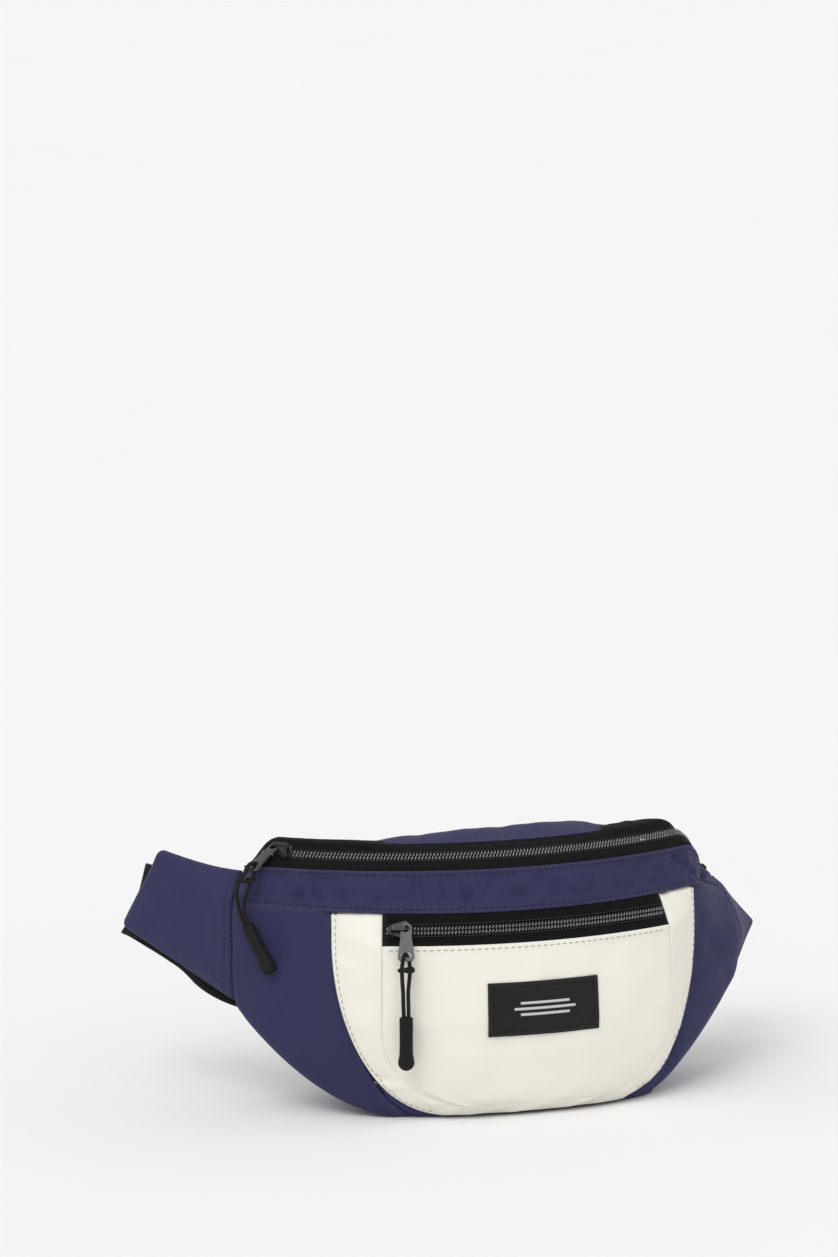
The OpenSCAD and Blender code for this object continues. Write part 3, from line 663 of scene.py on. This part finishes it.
NAVY = cloth_material("navy nylon", (46, 47, 83), 0.5, rough=0.62, sheen=0.04, specular=0.2)
CREAM = cloth_material("cream nylon", (241, 236, 225), 0.6, rough=0.78, sheen=0.08, vary=0.025,
                       worn=0.02)
TAPE = cloth_material("zip tape", (17, 17, 18), 0.8, "twill", rough=0.9, sheen=0.02, depth=0.0002,
                      specular=0.12)
WEBBING = cloth_material("webbing", (22, 21, 21), 1.6, "rib", rough=0.85, sheen=0.04,
                         depth=0.0004, specular=0.2)
SPACER = mesh_material("spacer mesh", (46, 46, 49))
LABEL = cloth_material("label weave", (34, 33, 31), 0.7, "twill", rough=0.85, sheen=0.05,
                       depth=0.0002, specular=0.2)
MOTIF = cloth_material("label pattern", (196, 194, 192), 0.7, "rib", rough=0.8, sheen=0.1)
NAVY_THREAD = plastic_material("navy thread", (30, 31, 56), 0.6, 2400)
CREAM_THREAD = plastic_material("cream thread", (186, 178, 162), 0.65, 2400)
BLACK_THREAD = plastic_material("black thread", (9, 9, 9), 0.6, 2400)
COIL_THREAD = plastic_material("zip thread", (52, 52, 53), 0.6, 2400)
COIL = coil_material()
PLASTIC = plastic_material("buckle plastic", (30, 30, 31), 0.5, 1100, 0.0001)
RUBBER = plastic_material("tip rubber", (19, 19, 19), 0.66, 1400, 0.00006, 0.22)
FOAM = plastic_material("foam", (125, 125, 130), 0.9, 1200, 0.0003, 0.2)
GUNMETAL = metal_material("gunmetal", (92, 91, 91), 0.34)
SATIN = metal_material("satin grey", (70, 70, 71), 0.4)
CORD = cloth_material("cord braid", (19, 19, 19), 0.9, "twill", rough=0.8, sheen=0.04,
                      depth=0.00015)


def finish(obj, material, slot, stands_for=(), body="pack"):
    """Gives a piece its material and the body it rides on, and hides the nodes it stands for. slot
    is not used.
    """
    obj.data.materials.append(material)
    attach(obj, body)
    if stands_for:
        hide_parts(*stands_for)
    return obj


# ----- pull cords and tips -----
def turn(angle, axis):
    return Matrix.Rotation(math.radians(angle), 4, axis)


def move(x, y, z):
    return Matrix.Translation((x, y, z))


def placed(matrix, points):
    m = np.array(matrix)
    return np.asarray(points, float) @ m[:3, :3].T + m[:3, 3]


def on_chain(th, r, z, tilt):
    return move(AXIS_X, AXIS_Y, 0) @ turn(th, "Z") @ move(0, -r, z) @ turn(tilt, "X")


LEG_X, MAIN_LEG_Z, POCKET_LEG_Z, EYE_X, YAW, DROOP = 3.7, 3.9, 3.6, 15.6, 50, 36
main_chain = on_chain(MAIN_SLIDER_TH, ZIP_R, ZIP_Z, ZIP_TILT)
pocket_chain = on_chain(POCKET_SLIDER_TH, POCKET_R, POCKET_Z, POCKET_TILT)
main_leg = main_chain @ move(-LEG_X, 0, MAIN_LEG_Z) @ turn(-ZIP_TILT, "X")
main_tab = main_leg @ turn(YAW, "Z") @ turn(-DROOP, "Y")
pocket_tab = pocket_chain @ move(LEG_X, 0, POCKET_LEG_Z) @ turn(90, "Z")
# upright frames at the tabs' eyes, in which the loops and tips hang
main_hang = main_tab @ move(-EYE_X, 0, 0) @ turn(DROOP, "Y") @ turn(-YAW, "Z")
pocket_hang = pocket_tab @ move(-EYE_X, 0, 0) @ turn(-90, "Z") @ turn(-POCKET_TILT, "X")

MAIN_ROUTE = [
    (-2, -4.5, -28.5), (-4.1, -4.4, -24.3), (-6.2, -4, -17), (-6.7, -3.7, -10.6), (-5, -3.4, -5.2),
    (-2.3, -2.6, -1.4), (-0.9, -1, 2), (1.2, 1.4, 2.1), (1.6, 1.9, -0.8), (0.9, 0.6, -3.4),
    (-0.6, -1.8, -8.4), (-2.3, -3.4, -14.4), (-2.9, -4, -19), (-2, -4.4, -23.3), (0, -4.5, -27.4),
]
POCKET_ROUTE = [
    (-1.2, -5.2, -27.8), (-1.4, -5, -22), (-1.6, -4.5, -15), (-2, -3.9, -9), (-2.1, -3.1, -3.6),
    (-1.5, -2.3, 0.4), (-1, -0.4, 2.5), (0, 1.4, 2.1), (1, 2.4, 0), (1.7, 1.4, -2.8),
    (1.9, -1, -5.4), (1.5, -3.1, -10), (1, -4.4, -15.5), (1.1, -5, -22), (1.2, -5.2, -27.8),
]


def pull_tip(name, matrix, body, node):
    """A moulded tip: a mouth lip, a slightly waisted stem, a rounder end and a mould line."""
    stem, ball, sides = TIP_L - 9, TIP_L - TIP_END_R, 48
    shape = [(0.1, 1.2), (0, TIP_R - 0.5), (-0.25, TIP_R - 0.15), (-0.6, TIP_R), (-3, TIP_R),
             (-3.3, TIP_R - 0.12), (-3.6, TIP_R), (-stem * 0.6, TIP_R - 0.08), (-stem, TIP_R)]
    shape += [(-mix(stem, ball, k), mix(TIP_R, TIP_END_R, ease(0, 1, k)))
              for k in (0.3, 0.6, 0.85, 1)]
    shape += [(-ball - TIP_END_R * math.sin(a), TIP_END_R * math.cos(a))
              for a in np.radians(range(15, 90, 15))]
    shape += [(-TIP_L, 0.3)]
    line = np.array([(0, 0, z) for z, _ in shape], float)
    radius = np.array([r for _, r in shape])[:, None]
    mould = np.ones((sides, 1))
    mould[[0, sides // 2]] = 1.02
    x, y = np.eye(3)[:2]
    rings = tube_grid(line, x * radius, y * radius, sides, mould)
    faces = [f[::-1] for f in tube_faces(len(line), sides)]
    tip = new_object(name, placed(matrix, rings.reshape(-1, 3)), faces)
    return finish(tip, RUBBER, "pull_tip", [node], body)


def pull_cord(name, route, hang, mouth, lean, body, nodes, hitch):
    """A braided loop from the tip's mouth, through the tab's eye and back, with its tip and the
    hitch that gathers it below the eye."""
    line = placed(hang, curve(route, np.linspace(0, len(route) - 1, 400)))
    length = float(spans(line[:, None], 0)[-1, 0]) * MM
    step, strand, strands, relief, sides = 0.22, 1.5, 4, 0.07, 20
    line = resample(line, step)
    a, b = frames_along(line)
    around = 2 * np.pi * np.arange(sides)[None] / sides
    along = np.arange(len(line))[:, None] * step / strand * np.pi
    braid = 1 + relief * np.cos(strands * around + along) * np.cos(strands * around - along)
    rings = tube_grid(line, a * CORD_D / 2, b * CORD_D / 2, sides, braid[..., None])
    faces = [f[::-1] for f in tube_faces(len(line), sides)]
    uv = np.stack([along / np.pi * strand + 0 * around, around * CORD_D / 2 + 0 * along], -1)
    obj = new_object(name, rings, faces, uv)
    finish(obj, CORD, "pull_cord", [nodes[0]], body)
    tip_place = hang @ move(*mouth) @ turn(-lean, "Y")
    tip = pull_tip(name.replace("cord", "tip"), tip_place, body, nodes[1])
    x, y, z, wide, deep, slant = hitch
    t = np.linspace(0, 2 * np.pi, 49)
    loop = [x + wide * np.cos(t), y + deep * np.sin(t) + slant * np.cos(t), z + 0.5 * np.sin(2 * t)]
    ring = placed(hang, np.stack(loop, -1))
    a, b = frames_along(ring)
    knot = tube(name.replace("braid", "hitch"), ring, a * 0.95, b * 0.95, 12)
    finish(knot, CORD, "pull_cord", (), body)


# ----- fabric folds -----
def seam_dip(e, depth=0.9, reach=1.5):
    """Cloth drawn in along a sewn edge."""
    return -depth * np.exp(-e / reach)


def pucker(p, e, size=7.0, depth=0.35, reach=5.0):
    """Small waves across a seam that die away from it."""
    return depth * bumps(p, size) * np.exp(-e / reach)


def ridge(e, at, width):
    """A rounded ridge of height 1 along a line, at a distance from an edge."""
    return np.exp(-(((e - at) / width) ** 2))


def hem(e, width=HEM_W, height=0.5):
    """A folded edge: one more layer of cloth up to its topstitch."""
    return height * (1 - ease(width - 1.2, width, e))


def groove(e, at=HEM_STITCH, depth=0.42, width=0.7):
    """The line that a row of topstitching pulls down."""
    return -depth * ridge(e, at, width)


def arc(u):
    """Distance round the body's front at an angle."""
    return u * math.pi / 180 * FRONT_R


def rear_lift(p, u, v, left, right, top, bottom):
    folds = creases(arc(u), p[..., 1], (-150, 150, -50, 20), (20, 70, -40), length=26,
                    width=4, depth=0.7, count=46, seed=3)
    calm = ease(0, 9, bottom) * ease(0, 6, top)
    hemmed = hem(bottom, 4.5, 0.55) + groove(bottom)
    hemmed += pucker(p, bottom, 6, 0.3, 6) * ease(0, 2, bottom)
    return (folds + 0.5 * bumps(p, 24)) * calm + hemmed + seam_dip(top) + seam_dip(left) \
        + seam_dip(right)


def band_lift(p, u, v, left, right, top, bottom):
    """Many small folds between two hems; the lower hem lies over the pocket's gusset."""
    folds = creases(arc(u), p[..., 2], (-150, 150, 102, 126), (38, -38, 50, -55, 90),
                    length=13, width=2.4, depth=1.5, count=84, seed=5)
    calm = ease(0, 5, top) * ease(0, 5, bottom)
    puckers = pucker(p, np.minimum(top, bottom), 5, 0.35, 7) * (1 - ease(33, 38, u))
    over_pocket = 1.2 * (1 - ease(2, 7, bottom)) * (1 - ease(27.5, 31, np.abs(u)))
    return (folds + 0.5 * bumps(p, 16)) * (0.25 + 0.75 * calm) + hem(top) + hem(bottom) \
        + groove(top) + groove(bottom) + puckers + seam_dip(left) + seam_dip(right) + over_pocket


def side_lift(s):
    """The folds of one side panel, which fan out from the wing's seam."""
    def lift(p, u, v, left, right, top, bottom):
        seam, inner = (left, right) if s < 0 else (right, left)
        x, span = (left, (0, 55, 20, 100)) if s < 0 else (-right, (-45, 0, 20, 100))
        fans = creases(x, p[..., 2], span, (-25, 20, -55, 60), length=22, width=4,
                       depth=0.4, count=24, seed=17 + s)
        calm = ease(0, 8, np.minimum.reduce([left, right, top, bottom]))
        puckers = pucker(p, seam, 9, 0.35, 8) * ease(0, 3, seam)
        return (fans + 0.4 * bumps(p, 24) + puckers) * calm + seam_dip(seam, 1.2, 2) \
            + seam_dip(inner, 0.7, 1.5) + seam_dip(bottom) + seam_dip(top, 0.3) \
            + 0.9 * ease(0, 12, seam) * ease(0, 12, inner)
    return lift


def bottom_lift(p, u, v, left, right, top, _):
    return -np.abs(0.3 * bumps(p, 20)) + seam_dip(top, 0.3) + seam_dip(left) + seam_dip(right)


def gusset_lift(p, u, v, left, _, inner, outer):
    """Ripples across the gusset, deepest round its foot."""
    ripples = creases(left, inner, (0, 330, 0, 24), (90, 70, 110, 60), length=9,
                      width=3.2, depth=0.8, count=70, seed=23)
    foot = ridge(p[..., 2], 0, 26)
    calm = ease(0, 3.5, inner) * ease(0, 3, outer)
    return (ripples * (0.55 + 0.75 * foot) + 0.5 * bumps(p, 15)) * calm \
        + seam_dip(inner, 0.4, 1.2) + seam_dip(outer, 0.8, 1.3) + groove(outer, 2.4, 0.35, 0.6)


def face_lift(p, u, v, left, right, top, bottom):
    """Broad folds, a fold beside the left seam and fullness above the foot."""
    side = np.minimum(left, right)
    folds = creases(arc(u * 20), p[..., 2], (-75, 75, 5, 88), (80, 100, 45, -45),
                    length=22, width=6, depth=0.45, count=30, seed=29)
    fold = 0.7 * ridge(left, 5.5, 3.2) * ease(0, 12, top)
    puff = 0.9 * ridge(bottom, 9, 6) * (0.5 + 0.5 * bumps(p, 14))
    return (folds + 0.35 * bumps(p, 30) + fold + puff) * ease(0, 6, side) * ease(0, 6, top) \
        + seam_dip(side, 0.55, 1.2) + seam_dip(bottom, 0.5, 1.2) + hem(top) \
        + groove(top, depth=0.35) + pucker(p, side, 7, 0.25, 8)


def back_lift(p, u, v, *edges):
    """Two upright sewn channels."""
    channel = np.minimum(np.abs(u - 13), np.abs(u + 13)) * 2.5
    return -1.1 * ridge(channel, 0, 2.2) + seam_dip(np.minimum.reduce(edges), 0.8, 2) \
        + 0.15 * bumps(p, 18)


def tape_lift(p, u, v, *_):
    return 0.12 * bumps(p, 9) + 0.1 * bumps(p, 4) - TAPE_SINK


def rear_tape_lift(p, u, v, *_):
    """Sunk under the rear hem in the middle, bare and wavy where the hem has drawn back."""
    drawn = drawn_back(u)
    bare = 1.5 * drawn * (1 - ease(2.2, 3.3, v))
    sunk = 1.3 * (1 - drawn) * (1 - ease(1.7, 2.1, v))
    waves = 0.7 * bumps(p, 7) * ease(13, 18, u) * (1 - ease(2, 3, v))
    return tape_lift(p, u, v) + bare - sunk + waves


def upper_tape_lift(p, u, v, *_):
    return tape_lift(p, u, v) - 0.9 * (1 - ease(-10.6, -7.5, v))


# ----- the pack's cloth -----
def make_panels():
    navy, cream = (NAVY, "navy_cloth"), (CREAM, "cream_cloth")

    def sew(name, f, us, vs, lift, nodes, du=0.3, dv=0.02, look=navy, thick=CLOTH_T):
        return finish(cloth(name, f, us, vs, thick, lift, du, dv), *look, nodes)

    ends = -SEAM_LEFT + 0.1, SEAM_RIGHT - 0.1
    around = edged(*ends, 200, 0.15)
    sew("top_rear_cloth", rear, around, edged(0.03, 1.985, 44, 0.01), rear_lift, ["top_rear_panel"])
    sew("front_band_cloth", body, edged(*ends, 300, 0.1), edged(5.96, 7.03, 30, 0.012), band_lift,
        ["front_band"])
    for s, word in ((-1, "left"), (1, "right")):
        sew(f"side_cloth_{word}", lambda u, v, s=s: side_panel(s, u, v), edged(0, 1, 64, 0.008),
            edged(7.0, 9.97, 90, 0.008), side_lift(s), [f"side_panel_{word}"], du=0.02)
    sew("base_cloth", body, around, edged(10.01, 10.99, 24, 0.01), bottom_lift, ["bottom_panel"])
    rear_mesh = sew("back_mesh", back, edged(-SEAM_RIGHT + 0.2, SEAM_LEFT - 0.2, 150, 0.2),
                    edged(0.02, 0.995, 60, 0.006), back_lift, ["back_panel"], dv=0.01,
                    look=(SPACER, "spacer_mesh"))
    sew("pocket_gusset_cloth", gusset, edged(-0.999, 0.999, 300, 0.002), edged(0.0, 1.0, 22, 0.02),
        gusset_lift, ["pocket_gusset"], 0.01, look=cream, thick=POCKET_CLOTH_T)
    sew("pocket_face_cloth", face, edged(-0.997, 0.997, 130, 0.006),
        edged(-0.012, 0.997, 90, 0.006), face_lift, ["pocket_panel"], 0.01, 0.01, cream,
        POCKET_CLOTH_T)


def make_stitching():
    for name, cloth_name, edge, skip, radius, thread, slot in (
            ("band_stitch_upper", "front_band_cloth", 2, 0.015, 0.42, NAVY_THREAD, "navy_cloth"),
            ("band_stitch_lower", "front_band_cloth", 3, 0.015, 0.42, NAVY_THREAD, "navy_cloth"),
            ("face_hem_stitch", "pocket_face_cloth", 2, 0.03, 0.34, CREAM_THREAD, "cream_cloth")):
        line, up = seam_line(cloth_name, edge, HEM_STITCH, skip)
        finish(stitches(name, line, up, radius=radius), thread, slot)
    line, up = seam_line("pocket_gusset_cloth", 3, 2.6, 0.012)
    side = int(len(line) * 0.38)  # the foot shows no stitches
    for word, part in (("left", slice(None, side)), ("right", slice(-side, None))):
        row = stitches(f"gusset_stitch_{word}", line[part], up[part], radius=0.34)
        finish(row, CREAM_THREAD, "cream_cloth")


# ----- zips -----
def coil(name, line, across, up, node):
    """One side of a nylon zip: a flattened helix of wire along the chain."""
    wire, wide, high, steps, sides = 0.36, 0.85, 0.62, 12, 5
    line, across, up = resample(line, COIL_PITCH / steps, across, up)
    phase = 2 * np.pi * np.arange(len(line)) / steps
    centre = line + across * (np.cos(phase) * wide)[:, None] + up * (np.sin(phase) * high)[:, None]
    a, b = frames_along(centre, (0, 0, 1))
    # crown marks where each loop rises; it sets the coil's painted highlight
    crown = np.repeat(ease(0.2, 0.9, np.sin(phase + 0.9)), sides)
    finish(tube(name, centre, a * wire, b * wire, sides, crown), COIL, "zip_coil", [node])


def make_zips():
    main_th = np.linspace(-SEAM_LEFT + 0.3, SEAM_RIGHT - 0.3, 150)
    pocket_th = np.linspace(-FACE_HALF + 0.1, FACE_HALF - 0.1, 90)
    for kind, word, f, us, vs, dv, lift in (
            ("main", "rear", body, main_th, edged(1.5, 4 - CHAIN_GAP, 16), 0.02, rear_tape_lift),
            ("main", "front", body, main_th, edged(4 + CHAIN_GAP, 6.08, 8), 0.02, tape_lift),
            ("pocket", "upper", pocket_zip, pocket_th, edged(-10.6, -CHAIN_GAP, 12), 0.3,
             upper_tape_lift),
            ("pocket", "lower", pocket_zip, pocket_th, edged(CHAIN_GAP, 9.4, 8), 0.3, tape_lift)):
        finish(cloth(f"{kind}_tape_{word}", f, us, vs, TAPE_T, lift, dv=dv), TAPE, "zip_tape",
               [f"{kind}_zip_tape_{word}"])
    th = np.linspace(-39, 36, 300)
    across = (body(th, 4.5) - body(th, 3.5)) / TAPE_HALF
    up = normals(body, th, 4 + 0 * th, 0.3, 0.02)
    chains = [("main", ("rear", "front"), body(th, 4), across, up)]
    th = np.linspace(-20.2, 20.2, 160)
    across = unit(pocket_zip(th, 1) - pocket_zip(th, 0))
    up = normals(pocket_zip, th, 0 * th, 0.3, 0.3)
    chains.append(("pocket", ("upper", "lower"), pocket_zip(th, 0), across, up))
    for i, s in enumerate((-1, 1)):
        for kind, words, line, across, up in chains:
            coil(f"{kind}_coil_{words[i]}", line + across * s * COIL_OUT + up * COIL_RISE, across,
                 up, f"{kind}_zip_coil_{words[i]}")
        for kind, words, line, across, up in chains:
            seam = line + across * s * THREAD_OUT + up * THREAD_RISE
            thread = stitches(f"{kind}_coil_thread_{words[i]}", seam, up, 2.1, 0.86, 0.2, 0.05)
            finish(thread, COIL_THREAD, "zip_tape")


# ----- label -----
def label_lift(p, u, v, *edges):
    near = np.minimum.reduce(edges)
    frayed = 0.2 * bumps(p, 3) * np.exp(-near / 0.8)
    return 1.0 + groove(near, 2.4, width=0.6) + 0.12 * bumps(p, 8) + frayed


def bar_lift(p, u, v, *_):
    return 1.18 + 0.12 * bumps(p, 8)


def make_label():
    """A woven patch with three plain bars where the photograph's label has its print."""
    label = cloth("label_patch", face, edged(-0.34, 0.39, 70, 0.006), edged(0.22, 0.55, 46, 0.005),
                  LABEL_T, label_lift, du=0.01, dv=0.01)
    finish(label, LABEL, "label_patch", ["label"])
    for edge, word in enumerate(("left", "right", "top", "foot")):
        line, up = seam_line("label_patch", edge, 2.4, 0.045)
        row = stitches(f"label_stitch_{word}", line, up, 2.6, radius=0.34)
        finish(row, BLACK_THREAD, "label_patch")
    middle = 0.025
    for i, (half, row) in enumerate(((0.16, 0.35), (0.2, 0.385), (0.16, 0.42))):
        bar = cloth(f"label_bar_{i + 1}", face, edged(middle - half, middle + half, 24, 0.005),
                    edged(row - 0.008, row + 0.008, 4), 0.25, bar_lift, du=0.01, dv=0.01)
        finish(bar, MOTIF, "label_patch")


# ----- wings -----
def wing_pad(s, word):
    """A wing: navy cloth outside and spacer mesh inside, sewn round soft foam."""
    depth, radius, rim_r = 5.6, 3.5, 3.2
    if s < 0:
        size_u, size_v, reach, crown, fold = 46.0, 40.0, 1.055, 0.8, 0.5
    else:
        size_u, size_v, reach, crown, fold = 38.0, 34.0, 1.03, 0.4, 0.25
    u, v = np.meshgrid(edged(0, 1, 60, 0.006)[::s], edged(0, 1, 48, 0.008), indexing="ij")
    end, edge = (1 - u) * size_u, (0.5 - np.abs(v - 0.5)) * size_v

    # the end's corners are rounded by moving the square corners' points in
    x, y = np.clip(1 - end / radius, 0, 1), np.clip(1 - edge / radius, 0, 1)
    corner = (x > 0) & (y > 0)
    new_x = np.where(corner, x * np.sqrt(1 - y * y / 2), x)
    new_y = np.where(corner, y * np.sqrt(1 - x * x / 2), y)
    u2 = np.where(corner, 1 - (1 - new_x) * radius / size_u, u)
    v2 = np.where(corner, 0.5 + np.sign(v - 0.5) * (0.5 - (1 - new_y) * radius / size_v), v)

    p = wing(s, u2 * reach, v2)
    n = normals(lambda a, b: wing(s, a, b), u2, v2, 0.02, 0.02) * s
    rim = np.minimum(np.minimum(end, edge), u * size_u)
    half = depth / 2 * np.sqrt(np.clip(1 - (1 - np.clip(rim / rim_r, 0, 1)) ** 2, 0, 1))
    folds = creases(u * size_u, v * size_v, (0, size_u, 0, size_v), (10, -20, 80),
                    length=16, width=3.5, depth=fold, count=22, seed=41 + s)
    puffed = ease(0, 10, rim) * crown + folds * ease(0, 5, rim) + groove(rim, 3.0, 0.49, 0.8)
    middle = p - n * depth / 2
    outer = middle + n * (half + puffed)[..., None]
    inner = middle - n * (half + 0.3 * ease(0, 8, rim))[..., None]
    uv = np.stack([u2 * size_u, v2 * size_v], -1)
    split = middle - n * 0.1
    cover = slab(f"wing_cloth_{word}", outer, split, uv, worn_edge(rim))
    finish(cover, NAVY, "navy_cloth", [f"wing_{word}_outer"])
    lining = slab(f"wing_mesh_{word}", split, inner, uv, worn_edge(rim))
    finish(lining, SPACER, "spacer_mesh", [f"wing_{word}_inner", f"wing_{word}_foam"])
    laid[cover.name] = (outer, n, (u * size_u, end))
    line, up = seam_line(cover.name, 0, 3.0, 0.06)
    finish(stitches(f"wing_stitch_{word}", line, up), NAVY_THREAD, "navy_cloth")


# ----- belt -----
def round_bar(x, side, turn_r):
    """The webbing's turn round a buckle's bar, from its near side to its far side."""
    return [(x + side * turn_r * math.cos(t), BELT_Y + turn_r * math.sin(t), BELT_Z, 0)
            for t in np.radians([-90, -45, 0, 45, 90])]


def belt_routes():
    """The two straps' centre lines: [x, y, z, lean of the webbing from upright]."""
    bar_r, slack = 1.5, 0.3
    turn_r = bar_r + slack + WEB_T / 2
    left_bar, right_bar = MOUTH_X - 44, MOUTH_X + 10
    near, far = BELT_Y - turn_r, BELT_Y + turn_r
    left = [
        (-152.5, 54.5, 95, -15), (-156.5, 59.5, 95.6, -17), (-158.5, 64.5, 95.6, -17),
        (-156, 68, 94, -16), (-149.5, 61, 89.5, -12), (-139.5, 46, 82, -5), (-130, 32, 73, 0),
        (-116, 25, 65, 0), (-98, 23, 60, 0), (-83, 22.5, 57, 0),
        (left_bar - 6, near, BELT_Z, 0), *round_bar(left_bar, 1, turn_r),
        (left_bar - 8, far - 1, BELT_Z, 0), (left_bar - 22, near + WEB_T + 0.3, BELT_Z, 0),
    ]
    right = [
        (148, 51, 72.6, 41), (152.6, 59.5, 73.2, 41), (151, 64, 74, 40), (147, 63, 73.5, 38),
        (142, 54, 72, 34), (136, 43, 69, 28), (129, 33, 65, 20), (119, 26, 61, 10),
        (107, 23, 58, 3), (96, 22.55, 57, 0),
        (42, near, BELT_Z, 0), (right_bar + 6, near, BELT_Z, 0), *round_bar(right_bar, -1, turn_r),
        (right_bar + 14, far, BELT_Z, 0), (right_bar + 24, near + WEB_T + 0.9, BELT_Z, 0),
        (42, near + WEB_T + 0.4, BELT_Z, 0), (94, near + WEB_T + 0.4, BELT_Z, 0),
    ]
    return left, right


def webbing(name, route, node):
    """Flat woven webbing with rounded selvedges, swept along a route."""
    dense = curve(route, np.linspace(0, len(route) - 1, 60 * len(route)))
    along = spans(dense[:, None, :3], 0)[:, 0]
    at = np.linspace(0, along[-1], int(along[-1] / 0.8))
    even = at_places(at, along, dense)
    line, lean = even[:, :3], even[:, 3]
    run = unit(np.gradient(line, axis=0))
    wide = np.stack([-sind(lean), 0 * at, cosd(lean)], -1)
    wide = unit(wide - run * (wide * run).sum(-1, keepdims=True))
    flat = np.cross(run, wide)
    half, thin, rib_w = WEB_W / 2, WEB_T / 2, 4.2
    xs = np.linspace(-half + thin, half - thin, 25)
    bend = np.radians([60, 20, -20, -60])
    end_x, end_y = half - thin + thin * np.cos(bend), thin * np.sin(bend)
    x = np.concatenate([xs, end_x, xs[::-1], -end_x])
    y = np.concatenate([0 * xs + thin, end_y, 0 * xs - thin, -end_y])
    rib = 1 - 0.08 * (0.5 + 0.5 * np.cos(2 * np.pi * x / rib_w))
    rings = line[:, None] + wide[:, None] * x[:, None] + flat[:, None] * (y * rib)[:, None]
    n, sides = rings.shape[:2]
    uv = np.stack(np.broadcast_arrays(at[:, None], x[None]), -1)
    wear_and_highlight = np.tile(worn_edge(half - np.abs(x), 1.2), n)
    obj = new_object(name, rings, tube_faces(n, sides), uv, wear_and_highlight)
    obj.data.materials.append(WEBBING)
    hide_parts(node)
    return obj


# ----- carried-over nodes -----
def dress_nodes():
    """Materials for the CAD nodes that show as they are, and worn edges for the metal ones."""
    for material, slot, nodes in (
            (PLASTIC, "buckle_plastic", ("buckle_female", "buckle_male", "latch_arm_upper",
                                         "latch_arm_lower")),
            (RUBBER, "buckle_plastic", ("strap_keeper",)),
            (NAVY, "navy_cloth", ("pocket_divider",)),
            (FOAM, "foam", ("back_foam",)),
            (SATIN, "gunmetal", ("main_slider", "pocket_slider")),
            (GUNMETAL, "gunmetal", ("main_pull_tab", "pocket_pull_tab"))):
        for node in nodes:
            obj = frame["nodes"][node]
            obj.data.materials.clear()
            obj.data.materials.append(material)
            if slot == "gunmetal":
                edge = obj.modifiers.new("worn edges", "BEVEL")
                edge.width = 0.00018
                edge.segments = 2
                edge.angle_limit = math.radians(50)


# ----- floor and light -----
def make_stage():
    side, near, far, low = 9000, -9000, 14000, -0.05
    corners = [(-side, near, low), (side, near, low), (side, far, low), (-side, far, low)]
    floor = new_object("floor", corners, [(0, 1, 2, 3)])
    floor.data.materials.append(floor_material())
    world = bpy.data.worlds.new("studio")
    world.use_nodes = True
    sky = world.node_tree.nodes["Background"].inputs
    sky["Color"].default_value = (0.975, 0.975, 0.98, 1)
    sky["Strength"].default_value = 0.78
    bpy.context.scene.world = world
    for name, strength, spread, tilt, spin in (
            ("key", 1.08, 36, 42, -48), ("fill", 0.16, 60, 60, 40)):
        data = bpy.data.lights.new(name, "SUN")
        data.energy = strength
        data.angle = math.radians(spread)
        lamp = bpy.data.objects.new(name, data)
        lamp.rotation_euler = (math.radians(tilt), 0, math.radians(spin))
        bpy.context.scene.collection.objects.link(lamp)
    bpy.context.scene.view_settings.view_transform = "Standard"


add_camera()
pull_cord("main_cord_braid", MAIN_ROUTE, main_hang, (-0.9, -4.5, -28.2), 28, "main_pull",
          ["main_pull_cord", "main_pull_tip"], (-2.6, -2.1, -6, 4, 1.7, 1.6))
pull_cord("pocket_cord_braid", POCKET_ROUTE, pocket_hang, (0, -5.2, -28), 0, "pocket_pull",
          ["pocket_pull_cord", "pocket_pull_tip"], (0, -2.3, -4.9, 3.4, 1.9, 0.6))
make_panels()
make_stitching()
make_zips()
make_label()
wing_pad(-1, "left")
wing_pad(1, "right")
left_route, right_route = belt_routes()
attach(webbing("webbing_left", left_route, "strap_left"), "pack")
webbing_right = webbing("webbing_right", right_route, "strap_right")
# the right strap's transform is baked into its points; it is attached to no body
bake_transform(webbing_right)
dress_nodes()
make_stage()
